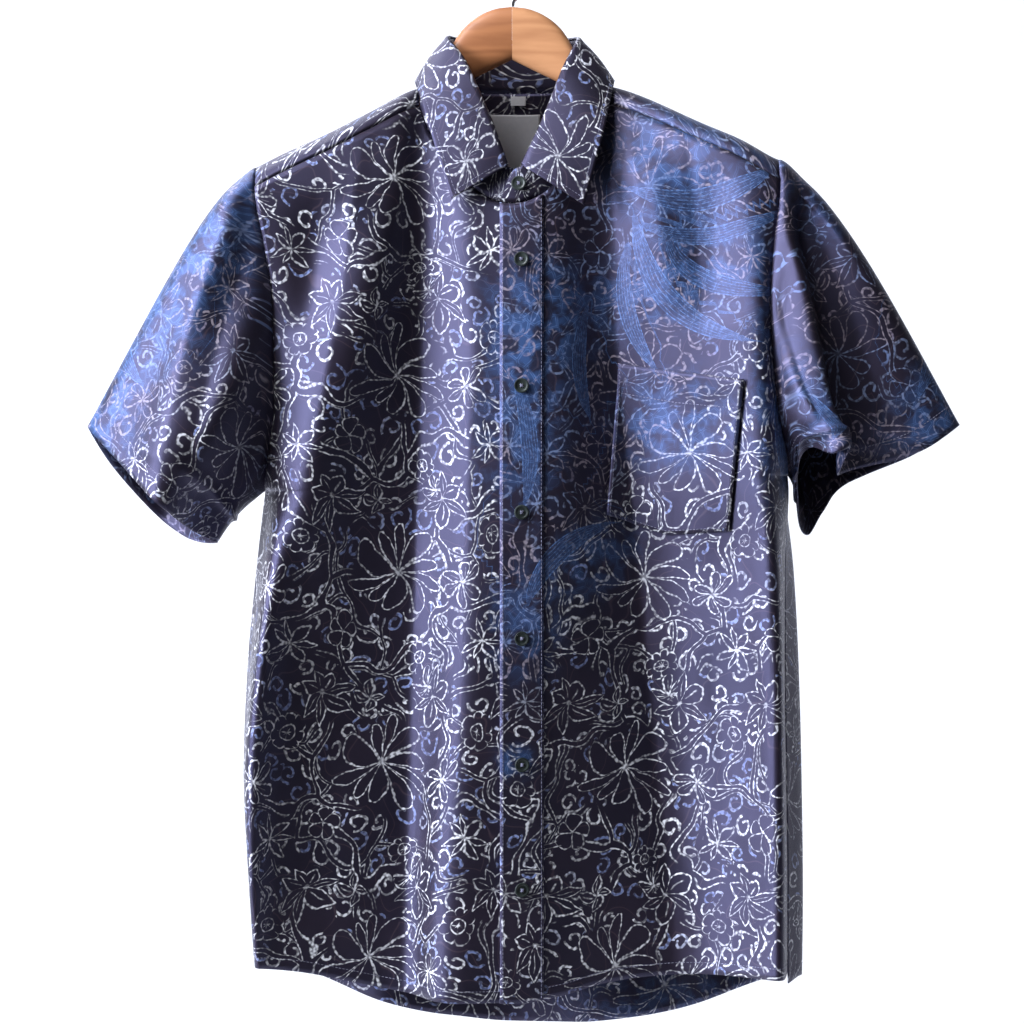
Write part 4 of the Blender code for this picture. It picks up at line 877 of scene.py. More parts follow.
def mesh_from(name, verts, faces):
    mesh = bpy.data.meshes.new(name)
    mesh.from_pydata(place(verts).tolist(), [], faces)
    return mesh


def turned_mesh(mesh):
    build = bmesh.new()
    build.from_mesh(mesh)
    turn_out(mesh, build)
    return mesh


def shell(node, outer, inner, uv, mat, prefix="shirt", keep=None, girth=None, dye=None):
    """A piece of cloth between two grids.

    uv is its flat place in mm at each grid point, dye the values of its DYE attributes, and
    girth, for a tube, the length round it at each row.
    """
    rows, cols = outer.shape[:2]
    count = rows * cols
    cells = grid_cells(rows, cols, keep, girth is not None)
    faces = cells + [tuple(v + count for v in reversed(cell)) for cell in cells]
    faces += rim_faces(cells, count)
    mesh = mesh_from(f"{prefix}_{node}", np.concatenate([outer.reshape(-1, 3), inner.reshape(-1, 3)]), faces)
    add_uv(mesh, faces, np.asarray(uv, float) + np.array(PRINT_SHIFT.get(node, (0, 0))), count, girth)
    for key in DYE:
        values = np.full((rows, cols), PLAIN_DYE[key]) if dye is None else dye[key]
        layer = mesh.attributes.new(key, "FLOAT", "POINT")
        layer.data.foreach_set("value", np.tile(values.ravel(), 2).astype(np.float32))
    return finish_piece(turned_mesh(mesh), [node], mat)


def add_uv(mesh, faces, flat, count, girth):
    """Two UV maps: the flat cloth in metres, and a 0 to 1 map for baking."""
    rows, cols = flat.shape[:2]
    corners = np.array(faces).ravel()
    inner = corners >= count
    index = corners % count
    i, j = index // cols, index % cols
    across = cols - 1
    if girth is not None:
        across = cols
        ends = [np.repeat(pick(j.reshape(-1, 4), axis=1), 4) for pick in (np.min, np.max)]
        turn = np.stack([girth, np.zeros(rows)], axis=-1)[:, None]
        flat = np.concatenate([flat, flat[:, :1] + turn], axis=1)
        j = np.where((ends[1] - ends[0] > 1) & (j == 0), cols, j)
    share = (j / across) * 0.48 + np.where(inner, 0.51, 0.01)
    bake = np.stack([share, 0.01 + 0.98 * (1.0 - i / (rows - 1))], axis=1)
    for key, values in (("cloth", flat[i, j] * MM), ("OFBake", bake)):
        layer = mesh.uv_layers.new(name=key)
        layer.data.foreach_set("uv", values.astype(np.float32).ravel())


# ---------------------------------------------------------------- fronts, placket, pocket, back

def row_drops(top, under, hem):
    """Levels down each column: even to the armhole's round, close round it, even to the hem."""
    start = under - ARMHOLE_ROUND
    angles = np.linspace(0.0, 0.5 * math.pi, ROUND_ROWS + 1)[:, None]
    above = top + (start - top) * np.linspace(0.0, 1.0, UPPER_ROWS + 1)[:-1, None]
    below = under + (hem - under) * np.linspace(0.0, 1.0, LOWER_ROWS + 1)[1:, None]
    return np.concatenate([above, start + (under - start) * np.sin(angles), below])


def seam_normals(side, drops, of_front):
    """Normals down an edge: its own above the underarm, shared between front and back below."""
    front = FRONT.normals(np.full(len(drops), SIDE_U[side]), drops)
    back = BACK.normals(np.full(len(drops), 1.0 - SIDE_U[side]), drops)
    share = smoothstep((drops - UNDERARM_DROP[side] + SHARE_OVER) / SHARE_OVER)[:, None]
    return unit(front + back * share) if of_front else unit(back + front * share)


def front_tops(side):
    """x of each column's top, from the free edge to the neck point and on to the armhole."""
    neck_point = SIGN[side] * NECK_HALF
    ease = np.sin(0.5 * math.pi * np.linspace(1.0, 0.0, FRONT_COLUMNS_NECK + 1))[:-1]
    neck = neck_point + (FREE_EDGE[side] - neck_point) * ease
    shoulder = np.linspace(NECK_HALF, SHOULDER_TIP[side], FRONT_COLUMNS_SIDE[side]) * SIGN[side]
    return np.concatenate([neck, shoulder])


def part_seam(points, edge, neighbour):
    """Draw an edge column in from its seam, and part its foot into the vent."""
    points[:, edge] += unit(points[:, neighbour] - points[:, edge]) * (SEAM / 2)
    vent_top = -points[-1, edge, 2] - VENT_HEIGHT
    share = np.clip((-points[:, edge, 2] - vent_top) / VENT_HEIGHT, 0.0, 1.0)
    points[:, edge] += unit(points[:, neighbour] - points[:, edge]) * (share * VENT_GAP)[:, None]


def tuck_at(x):
    """How far the under-lap lies behind the front's outer face."""
    return smoothstep((np.asarray(x) - TUCK_FROM) / TUCK_RUN) * (CLOTH + TUCK_GAP)


@functools.lru_cache(maxsize=None)
def body_grid(node):
    """Points, normals, u and drops of a front, from its free edge to the side, or of the back.

    The back's columns carry on from the yoke's.
    """
    if node == "back":
        xs = yoke_columns()
        tops_u = np.array([float(yoke_ends(x)[3]) for x in xs])
        fractions = (xs - xs[0]) / (xs[-1] - xs[0])
        under = np.interp(fractions, (0.0, 1.0), (UNDERARM_DROP["right"], UNDERARM_DROP["left"]))
        top_drops = np.full(len(xs), YOKE_SEAM_DROP)
        grid = BACK.grid(lambda d: (np.ones(len(d)), np.zeros(len(d))), under, tops_u, top_drops, fractions)
        grid[1][:, 0] = seam_normals("right", grid[3][:, 0], False)
        grid[1][:, -1] = seam_normals("left", grid[3][:, -1], False)
        return grid
    side = node.removeprefix("front_")
    tops = front_tops(side)
    top_drops = front_top_drop(tops)
    tops_u = FRONT.u_at_x(tops, top_drops)
    tops_u[-1] = SIDE_U[side]
    under = np.full(len(tops), UNDERARM_DROP[side])

    def ends(drops):
        return FRONT.u_at_x(FREE_EDGE[side], drops), np.full(len(drops), SIDE_U[side])

    grid = FRONT.grid(ends, under, tops_u, top_drops, np.linspace(0.0, 1.0, len(tops)))
    grid[1][:, -1] = seam_normals(side, grid[3][:, -1], True)
    return grid


def body_walls(node):
    """Outer and inner grids of a front or the back; the right front tucks behind the left."""
    outer, normals = body_grid(node)[0].copy(), body_grid(node)[1]
    part_seam(outer, -1, -2)
    if node == "back":
        part_seam(outer, 0, 1)
        outer[0] += unit(outer[1] - outer[0]) * (SEAM / 2)
    if node == "front_right":
        outer -= normals * tuck_at(outer[..., 0])[..., None]
    return outer, outer - normals * CLOTH


def build_panel(node, cloth):
    outer, inner = body_walls(node)
    _, _, u, drops = body_grid(node)
    uv = (BACK if node == "back" else FRONT).flat(u, drops)
    return shell(node, outer, inner, uv, cloth, dye=dye_body(node, outer[..., 0], drops))


def build_on_front(node, xs, drops, cloth, lift=LAY):
    """A flat piece made from the front's own points, moved out from it."""
    base, normal = front_at(xs, drops)
    uv = FRONT.flat(FRONT.u_at_x(xs, drops), drops)
    dye = dye_body(node, xs, drops)
    return shell(node, base + normal * (lift + TRIM), base + normal * lift, uv, cloth, dye=dye)


def build_placket(cloth):
    across = np.linspace(PLACKET_EDGE - LAY, PLACKET_EDGE + PLACKET_WIDTH, PLACKET_COLUMNS + 1)
    tops = front_top_drop(across) + PLACKET_TOP_GAP
    drops = tops + (read(FRONT_HEM, across) - tops) * np.linspace(0.0, 1.0, PLACKET_ROWS + 1)[:, None]
    return build_on_front("placket", np.broadcast_to(across, drops.shape), drops, cloth)


def pocket_place(across, down):
    """x, drop and lift of a place on the pocket, both 0 to 1 across and down it."""
    across, down = np.asarray(across, float)[..., None], np.asarray(down, float)[..., None]
    top = np.array(POCKET_TOP_IN) * (1 - across) + np.array(POCKET_TOP_OUT) * across
    low = np.array(POCKET_LOW_IN) * (1 - across) + np.array(POCKET_LOW_OUT) * across
    low[..., 1] += POCKET_POINT * (1.0 - np.abs(2.0 * across[..., 0] - 1.0))
    spot = top * (1 - down) + low * down
    lift = POCKET_LIFT + POCKET_MOUTH * np.sin(math.pi * across) * (1.0 - down) ** 6
    return spot[..., 0], spot[..., 1], lift


def build_pocket(cloth):
    across, down = (np.linspace(0.0, 1.0, count + 1) for count in (POCKET_COLUMNS, POCKET_ROWS))
    xs, drops, lift = pocket_place(*np.meshgrid(across, down))
    return build_on_front("pocket", xs, drops, cloth, lift)


# ---------------------------------------------------------------- yoke

def yoke_columns():
    """x of the yoke's columns: the fronts' own tops, and the back of the neck between them."""
    right, left = (front_tops(side)[FRONT_COLUMNS_NECK:] for side in SIGN)
    angles = np.linspace(0.0, math.pi, YOKE_NECK_COLUMNS + 1)[1:-1]
    return np.concatenate([right[::-1], -NECK_HALF * np.cos(angles), left])


def on_shoulder(x):
    return np.abs(x) >= NECK_HALF - 1e-6


def neck_back(x):
    """Neckline over the yoke between the two neck points."""
    y_side, drop_side = ridge_at(math.copysign(NECK_HALF, x))
    reach = math.sqrt(max(0.0, 1.0 - (x / NECK_HALF) ** 2))
    y = y_side + (NECK_BACK_Y - y_side) * reach
    return np.array([x, y, -(drop_side + (NECK_BACK_DROP - drop_side) * reach)])


def yoke_ends(x):
    """A yoke column's lowest points: on the front's top edge and on the back's."""
    side = "right" if x < 0 else "left"
    front_u, back_u = SIDE_U[side], 1.0 - SIDE_U[side]
    if abs(x) <= 0.99 * SHOULDER_TIP[side]:
        front_u = FRONT.u_at_x(x, front_top_drop(x))
        back_u = BACK.u_at_x(x, YOKE_SEAM_DROP)
    front = FRONT.points(front_u, front_top_drop(x))
    return front, BACK.points(back_u, YOKE_SEAM_DROP), front_u, back_u


@functools.lru_cache(maxsize=None)
def yoke_column(x):
    """Outer points of one yoke column: front seam, ridge, back seam."""
    front, low = yoke_ends(x)[:2]
    if on_shoulder(x):
        y_ridge, drop_ridge = ridge_at(x)
        start = np.array([x, y_ridge, -drop_ridge])
        angles = 0.5 * math.pi * (1.0 - np.arange(YOKE_FRONT_ROWS) / YOKE_FRONT_ROWS)
        curve = np.stack([0.0 * angles, np.sin(angles), 1.0 - np.cos(angles)], axis=-1)
        over = start + (front - start) * curve
        bend = np.array([x, low[1], start[2]])
    else:
        start = neck_back(x)
        over = np.tile(start, (YOKE_FRONT_ROWS, 1))
        side = np.array([x, low[1], start[2]])
        middle = start + (low - start) * np.array(YOKE_BEND)
        bend = middle + (side - middle) * (abs(x) / NECK_HALF) ** 4
    steps = np.arange(YOKE_BACK_ROWS + 1)[:, None] / YOKE_BACK_ROWS
    return np.concatenate([over, bend_through(start, bend, low, steps)])


@functools.lru_cache(maxsize=None)
def yoke_grid():
    """Columns of the yoke with normals that match the fronts' and the back's at the seams."""
    xs = yoke_columns()
    grid = np.stack([yoke_column(x) for x in xs], axis=1)
    nudge = np.where(xs > 0, -0.8, 0.8)
    beside = np.stack([yoke_column(x + d) for x, d in zip(xs, nudge)], axis=1)
    across = (beside - grid) * np.sign(nudge)[None, :, None]
    down = np.gradient(grid, axis=0)
    flat = ~on_shoulder(xs)
    down[: YOKE_FRONT_ROWS + 1, flat] = (grid[YOKE_FRONT_ROWS + 1] - grid[YOKE_FRONT_ROWS])[None, flat]
    normals = unit(np.cross(across, down))
    for j, x in enumerate(xs):
        _, _, front_u, back_u = yoke_ends(x)
        if on_shoulder(x):
            normals[0, j] = FRONT.normals(front_u, front_top_drop(x))
        normals[-1, j] = BACK.normals(back_u, YOKE_SEAM_DROP)
    return xs, grid, normals


def build_yoke(cloth):
    """The yoke, with the neck cut out of its grid."""
    xs, grid, normals = yoke_grid()
    outer, shoulder = grid.copy(), on_shoulder(xs)
    outer[0, shoulder] += unit(outer[1] - outer[0])[shoulder] * SEAM
    outer[-1] += unit(outer[-2] - outer[-1]) * (SEAM / 2)
    joined = shoulder[:-1] & shoulder[1:] & (xs[:-1] * xs[1:] > 0)
    keep = [joined | (i >= YOKE_FRONT_ROWS) for i in range(len(outer) - 1)]
    uv = np.stack([outer[..., 0], run_along(outer[::-1])[::-1]], axis=-1)
    dye = dye_body("yoke", outer[..., 0], -outer[..., 2])
    return shell("yoke", outer, outer - normals * CLOTH, uv, cloth, keep=keep, dye=dye)


# ---------------------------------------------------------------- sleeves

def armhole_ring(side):
    """Closed ring of the body's own edge vertices, with their normals and the way out."""
    edge = 0 if side == "right" else -1
    under = UPPER_ROWS + ROUND_ROWS
    rows = (slice(under + 1), slice(under - 1, 0, -1), slice(YOKE_FRONT_ROWS + YOKE_BACK_ROWS, 0, -1))
    grids = (body_grid(f"front_{side}"), body_grid("back"), yoke_grid()[1:])
    parts = list(zip(grids, rows, (-1, edge, edge)))
    points, normals = (np.concatenate([grid[k][row, end] for grid, row, end in parts]) for k in (0, 1))
    along = np.roll(points, -1, axis=0) - np.roll(points, 1, axis=0)
    away = unit(np.cross(along, normals))
    outward = np.array([SIGN[side], 0.0, 0.0]) + 0.6 * unit(points.mean(axis=0) - points)
    flip = np.sum(away * outward, axis=-1, keepdims=True) < 0.0
    return points, normals, np.where(flip, -away, away)


def shares_by_landmarks(points, ridge_index, under_index):
    """Share of the way round: the shoulder's ridge is at 0 and the underarm at one half."""
    lengths = run_along(np.concatenate([points, points[:1]]))
    raw = np.mod((lengths[:-1] - lengths[ridge_index]) / lengths[-1], 1.0)
    half = raw[under_index]
    return np.where(raw <= half, raw / half * 0.5, 0.5 + (raw - half) / (1.0 - half) * 0.5)


def ring_normals(outer):
    """Normals of a closed tube of rings, pointing away from its middle."""
    down = np.gradient(outer, axis=0)
    across = np.roll(outer, -1, axis=1) - np.roll(outer, 1, axis=1)
    normal = unit(np.cross(down, across))
    out = outer - outer.mean(axis=1, keepdims=True)
    flip = np.sum(normal * out, axis=(1, 2), keepdims=True) < 0.0
    return np.where(flip, -normal, normal)


def sleeve_folds(share, t, folds, sharpness, fade):
    """How far a ring of the sleeve stands out for its folds, at share of the way round."""
    total = np.zeros_like(share)
    for s_top, s_hem, half_width, height in folds:
        away = np.mod(share - s_top - (s_hem - s_top) * t + 0.5, 1.0) - 0.5
        total += height * np.exp(-((np.abs(away) / half_width) ** sharpness))
    return total * smoothstep(t / fade)


@functools.lru_cache(maxsize=None)
def sleeve_walls(side):
    """Outer and inner rings of a sleeve from the armhole down to the hem, s and steps down.

    The columns start at the underarm seam and run up the back, over the top and down the front.
    """
    points, normals, away = armhole_ring(side)
    under = int(np.argmin(points[:, 2]))
    share = shares_by_landmarks(points, int(np.argmax(points[:, 2])), under)
    points, normals, away, share = (np.roll(a, -under, axis=0) for a in (points, normals, away, share))
    knots, *rows = (np.array(column(SLEEVE_RINGS[side], k), float) for k in range(4))
    downwards = np.array([1.0, 1.0, -1.0])
    hem_ring, offsets = (periodic(knots, row * downwards, share) for row in rows[:2])
    power = math.log(0.5) / np.log(periodic(knots, rows[2][:, None], share))
    start = points + away * SLEEVE_GAP
    steps = (np.arange(SLEEVE_ROWS + 1) / SLEEVE_ROWS) ** SLEEVE_ROW_EASE
    rings = [start * (1.0 - t) + hem_ring * t + offsets * np.sin(math.pi * t**power) for t in steps]
    outer = np.stack(rings)
    folds = (SLEEVE_FOLDS[side], 2.0, FOLD_FADE), (SLEEVE_CREASES[side], SLEEVE_SHARPNESS, CREASE_FADE)
    for table, sharpness, fade in folds:
        heights = [sleeve_folds(share, t, table, sharpness, fade) for t in steps]
        outer = outer + ring_normals(outer) * np.stack(heights)[..., None]
    ease = smoothstep(np.arange(SLEEVE_ROWS + 1) / SEAM_BLEND_ROWS)[:, None, None]
    normal = unit(normals * (1.0 - ease) + ring_normals(outer) * ease)
    return outer, outer - normal * CLOTH, share, steps


def build_sleeve(side, cloth):
    """A sleeve; its print lies as on a tube unrolled along its own axis."""
    outer, inner, share, steps = sleeve_walls(side)
    turn = np.mod(share + 0.5, 1.0) - 0.5
    axis = unit(outer[-1].mean(axis=0) - outer[0].mean(axis=0))
    step = np.diff(np.concatenate([outer, outer[:, :1]], axis=1), axis=1)
    around = np.cumsum(np.sqrt(np.sum(step**2, axis=2) - (step @ axis) ** 2), axis=1)
    around = np.pad(around, ((0, 0), (1, 0)))
    top = int(np.argmin(np.abs(turn)))
    across = around[:, :-1] - around[:, top : top + 1]
    down = outer @ axis
    uv = np.stack([across, down[0, top] - down], axis=-1)
    node = f"sleeve_{side}"
    dye = dye_body(node, turn * SLEEVE_GIRTH, steps[:, None] * SLEEVE_LENGTH)
    return shell(node, outer, inner, uv, cloth, girth=around[:, -1], dye=dye)


# ---------------------------------------------------------------- collar

def collar_line(s, which):
    """Roll line ("roll") or free edge ("edge") of the collar at s, 0 to 1 round the neck."""
    first = {"roll": 1, "edge": 4}[which]
    side, at = ("right", s) if s <= 0.5 else ("left", 1.0 - s)
    out, y, drop = (float(read(COLLAR[side], at, first + k)) for k in range(3))
    return np.array([SIGN[side] * out, y, -drop])


def neck_half(side):
    """One half of the neckline, front to back, as (s, point) at each of its vertices."""
    front = body_walls(f"front_{side}")[0][0, : FRONT_COLUMNS_NECK + 1]
    out = front[:, 0] * SIGN[side]
    shares = list(NECK_FRONT_S * (out - CENTRE_OUT) / (NECK_HALF - CENTRE_OUT))
    shoulder = yoke_column(SIGN[side] * NECK_HALF)[1 : YOKE_FRONT_ROWS + 1]
    step = (NECK_RIDGE_S - NECK_FRONT_S) / YOKE_FRONT_ROWS
    shares += [NECK_FRONT_S + step * (k + 1) for k in range(YOKE_FRONT_ROWS)]
    inner = [x for x in yoke_columns() if not on_shoulder(x) and x * SIGN[side] >= -1e-6]
    inner.sort(key=abs, reverse=True)
    turns = [math.acos(abs(x) / NECK_HALF) / (0.5 * math.pi) for x in inner]
    shares += [NECK_RIDGE_S + (0.5 - NECK_RIDGE_S) * turn for turn in turns]
    return list(zip(shares, [*front, *shoulder, *(neck_back(x) for x in inner)]))


def neck_feet():
    """The stand's feet: every vertex of the neckline, with its s, right end to left end."""
    left = [(1.0 - share, point) for share, point in neck_half("left")]
    return neck_half("right") + [foot for foot in left[::-1] if foot[0] > 0.5 + 1e-6]


def outward_of(points):
    """Level direction away from the neck's centre."""
    return unit((points - np.array([0.0, NECK_CENTRE_Y, 0.0])) * np.array([1.0, 1.0, 0.0]))


def stand_top(s):
    """Top of the stand under the roll; past the centre front its ends round downwards."""
    inside = min(max(s, 0.0), 1.0)
    past = abs(s - inside) / STAND_LAP_S
    end = np.array([1.0 if s < 0.5 else -1.0, 0.0, -past])
    return collar_line(inside, "roll") + STAND_END_ROUND * end * min(1.0, past)


def band_normals(outer):
    """Normals of an open band round the neck, pointing away from it."""
    normal = unit(np.cross(np.gradient(outer, axis=0), np.gradient(outer, axis=1)))
    middle = outer.shape[0] // 2
    flip = np.sum(normal[middle] * outward_of(outer[middle]), axis=-1) < 0.0
    return np.where(flip[:, None], -normal, normal)


def build_stand(cloth):
    """Band from the neck seam up to just under the roll, its left end over the right one."""
    columns, feet = [], neck_feet()
    t = np.linspace(0.0, 1.0, STAND_ROWS)[:, None]
    for s, foot in feet:
        top = stand_top(s)
        top[1] += tuck_at(foot[0]) if s < 0.5 else 0.0
        start, end = foot + unit(top - foot) * STAND_LIFT, top - np.array([0, 0, STAND_ROOM])
        belly = STAND_BOW * np.sin(math.pi * t) - STAND_LEAN * t
        columns.append(start * (1 - t) + end * t + outward_of(top) * belly)
    outer = np.stack(columns, axis=1)
    across = np.broadcast_to(np.array(column(feet, 0)) * NECK_GIRTH, outer.shape[:2])
    uv = np.stack([across, outer[..., 2]], axis=-1)
    return shell("collar_stand", outer, outer - band_normals(outer) * TRIM, uv, cloth)


def build_fall(cloth):
    """Folded-over leaf of the collar, from the roll above the stand out to its free edge."""
    columns = []
    up = np.array([0.0, 0.0, 1.0])
    t = np.arange(1, FALL_ROWS + 1)[:, None] / FALL_ROWS
    for s in np.linspace(0.0, 1.0, COLLAR_COUNT + 1):
        roll, edge = collar_line(s, "roll"), collar_line(s, "edge")
        out = outward_of(roll)
        *fold, start = (roll + out * aside + up * above for aside, above in (*ROLL_STEPS, FALL_START))
        bow = FALL_BOW * np.sin(math.pi * t) * (1.0 - 0.4 * t)
        columns.append(np.concatenate([fold, start * (1 - t) + edge * t + out * bow]))
    outer = np.stack(columns, axis=1)
    down = run_along(outer)
    uv = np.stack([np.broadcast_to(run_along(outer[-1]), down.shape), -down], axis=-1)
    return shell("collar_fall", outer, outer - band_normals(outer) * TRIM, uv, cloth), outer


# ---------------------------------------------------------------- small parts

def plain_piece(mesh, mat, nodes, smooth=40.0):
    """A solid piece with its sharp edges marked."""
    mesh.set_sharp_from_angle(angle=math.radians(smooth))
    return finish_piece(mesh, nodes, mat)


def tube_faces(rings, sides):
    """Faces of a capped tube whose vertices run ring by ring."""
    caps = [tuple(reversed(range(sides))), tuple(range((rings - 1) * sides, rings * sides))]
    return grid_cells(rings, sides, None, True) + caps


def strands(name, tubes, sides, mat, nodes=()):
    """Capped tubes in one mesh, each given by its points ring by ring."""
    faces, first = [], 0
    for points in tubes:
        faces += [tuple(v + first for v in face) for face in tube_faces(len(points) // sides, sides)]
        first += len(points)
    return plain_piece(turned_mesh(mesh_from(name, np.concatenate(tubes), faces)), mat, nodes)


def round_points(path, one, two, radii, sides):
    """Points round a path, ring by ring, between two directions across it."""
    angles = (TURN * np.arange(sides) / sides)[:, None]
    around = one[:, None] * np.cos(angles) + two[:, None] * np.sin(angles)
    return (path[:, None] + around * np.reshape(radii, (-1, 1, 1))).reshape(-1, 3)


def tube_points(path, radii, sides):
    """Points round a path, from directions that are carried along it without twist."""
    run = unit(np.gradient(path, axis=0))
    side = unit(np.cross(run[0], np.array([0.31, 0.57, 0.76])))
    one = []
    for heading in run:
        side = unit(side - heading * np.dot(side, heading))
        one.append(side)
    return round_points(path, np.array(one), np.cross(run, one), radii, sides)


def build_button(name, base, normal, resin, thread):
    """A turned four-hole button, its holes cut through, and the thread that holds it."""
    axis = unit(np.asarray(normal, float))
    across = unit(np.cross(axis, np.array([0.0, 0.0, 1.0])))
    up = np.cross(across, axis)
    build = bmesh.new()

    def spot(x, y, height):
        return base + across * x + up * y + axis * height

    def corner(x, y, height):
        return build.verts.new(place(spot(x, y, height * BUTTON_HEIGHT)))

    def circle(radius, sides):
        return [(radius * math.cos(a), radius * math.sin(a)) for a in TURN * np.arange(sides) / sides]

    def wall(low, high):
        for k in range(len(low)):
            n = (k + 1) % len(low)
            build.faces.new((low[k], low[n], high[n], high[k]))

    rings = []
    for share, h in BUTTON_TURNING:
        rings.append([corner(x, y, h) for x, y in circle(share * BUTTON_RADIUS, BUTTON_RIM_SIDES)])
    for low, high in zip(rings, rings[1:]):
        wall(low, high)
    faces = [[rings[-1]], [rings[0]]]
    heights = BUTTON_TURNING[-1][1], BUTTON_TURNING[0][1]
    for right, upper in ((1, 1), (-1, 1), (-1, -1), (1, -1)):
        hole = [(right * HOLE_OFF + x, upper * HOLE_OFF + y) for x, y in circle(HOLE_RADIUS, HOLE_SIDES)]
        well = [list(loop) for loop in zip(*([corner(x, y, h) for h in heights] for x, y in hole))]
        wall(*well)
        for loops, loop in zip(faces, well):
            loops.append(loop)
    for loops in faces:
        pairs = [pair for loop in loops for pair in zip(loop, loop[1:] + loop[:1])]
        edges = [build.edges.get(pair) or build.edges.new(pair) for pair in pairs]
        bmesh.ops.triangle_fill(build, use_beauty=True, use_dissolve=False, edges=edges)
    mesh = bpy.data.meshes.new(f"shirt_{name}")
    turn_out(mesh, build)
    plain_piece(mesh, resin, [name], 35.0)
    crossed = []
    top = BUTTON_TURNING[-1][1] * BUTTON_HEIGHT + THREAD_RADIUS
    t = np.linspace(0.0, 1.0, THREAD_STEPS)[:, None]
    height = top + THREAD_BOW * np.sin(math.pi * t) - THREAD_DIP * np.abs(2 * t - 1) ** 8
    for y_from in (-1, 1):
        for aside in (-THREAD_RADIUS, THREAD_RADIUS):
            x, y = HOLE_OFF * (2 * t - 1) + aside, y_from * (HOLE_OFF * (1 - 2 * t) + aside)
            crossed.append(tube_points(spot(x, y, height), THREAD_RADIUS, THREAD_SIDES))
    strands(f"thread_{name}", crossed, THREAD_SIDES, thread)


def build_arm(side, wood):
    """One half of the hanger: rounded sections lofted from the joint to the end."""
    outs = column(ARM_ROWS, 0)
    fine = np.unique(np.concatenate([np.linspace(outs[0], outs[-1], ARM_RINGS), outs]))
    fine[0] = ARM_JOINT
    angles = TURN * (np.arange(ARM_FINE_SIDES) + 0.5) / ARM_FINE_SIDES
    wide, tall = (np.sign(f) * np.abs(f) ** (2.0 / ARM_SQUARENESS) for f in (np.cos(angles), np.sin(angles)))
    rings = []
    for out in fine:
        x = SIGN[side] * out
        top, bottom, y, half_width = (float(read(ARM_ROWS, out, k)) for k in range(1, 5))
        middle = 0.5 * (top + bottom) - float(left_rise(x))
        height = tall * 0.5 * (bottom - top) - middle
        rings.append(np.stack([np.full(len(angles), x), y + wide * half_width, height], axis=-1))
    nodes = [f"hanger_{side}"]
    return strands(f"fine_hanger_{side}", [np.concatenate(rings)], ARM_FINE_SIDES, wood, nodes)


def build_hook(steel):
    """The wire: stem, a swing out to one side, the bend over the rail, the rounded tip."""
    radius, centre_z = HOOK_BEND_RADIUS + WIRE_RADIUS, HOOK_RISE - HOOK_BEND_RADIUS
    bend = np.radians(np.linspace(*HOOK_TURN, HOOK_STEPS))
    x = np.concatenate([[0.0], column(HOOK_STEM, 0), radius * np.cos(bend)])
    z = np.concatenate([[HOOK_GAP], column(HOOK_STEM, 1), centre_z + radius * np.sin(bend)])
    path = np.stack([x, 0.0 * x, z], axis=-1)
    run = run_along(path)
    fine = np.linspace(0.0, run[-1], HOOK_FINE_STEPS)
    smooth = between(fine, run, path)
    for _ in range(HOOK_SMOOTHING):
        smooth[1:-1] = 0.25 * smooth[:-2] + 0.5 * smooth[1:-1] + 0.25 * smooth[2:]
    left = np.minimum((run[-1] - fine) / WIRE_RADIUS, 1.0)
    radii = WIRE_RADIUS * np.sqrt(np.clip(1.0 - (1.0 - left) ** 2, 0.02, 1.0))
    wire = tube_points(smooth, radii, HOOK_SIDES)
    return strands("fine_hook", [wire], HOOK_SIDES, steel, ["hook"])


def yoke_inside(x, t):
    """Point on the yoke's outer face behind the neck, and the direction into the shirt."""
    points = yoke_column(x)[YOKE_FRONT_ROWS:]
    along = t * YOKE_BACK_ROWS
    i = min(int(along), YOKE_BACK_ROWS - 1)
    run = points[i + 1] - points[i]
    inward = unit(np.cross(np.array([1.0, 0.0, 0.0]), run))
    return points[i] + run * (along - i), -inward if inward[1] > 0.0 else inward


def build_label(name, x_middle, half_width, t_top, t_low, tape):
    """A flat tape made from the yoke's own points, moved inwards."""
    xs = x_middle + np.linspace(-half_width, half_width, LABEL_GRID)
    spots = [[yoke_inside(x, down) for x in xs] for down in np.linspace(t_top, t_low, LABEL_GRID)]
    points, inward = np.moveaxis(np.array(spots), 2, 0)
    back = points + inward * (CLOTH + LABEL_LIFT)
    face = back + inward * LABEL_WALL
    return shell(name, face, back, face[..., (0, 2)], tape, prefix="woven")


# ---------------------------------------------------------------- where the dye is strong

def blob(x, drop, x_middle, drop_middle, half_width, half_height, tilt):
    """1 at a patch's middle, falling softly to 0 at its reach."""
    turn = math.radians(tilt)
    away_x, away_d = x - x_middle, drop - drop_middle
    one = (away_x * math.cos(turn) + away_d * math.sin(turn)) / half_width
    two = (away_d * math.cos(turn) - away_x * math.sin(turn)) / half_height
    return np.exp(-((one**2 + two**2) ** 1.5))


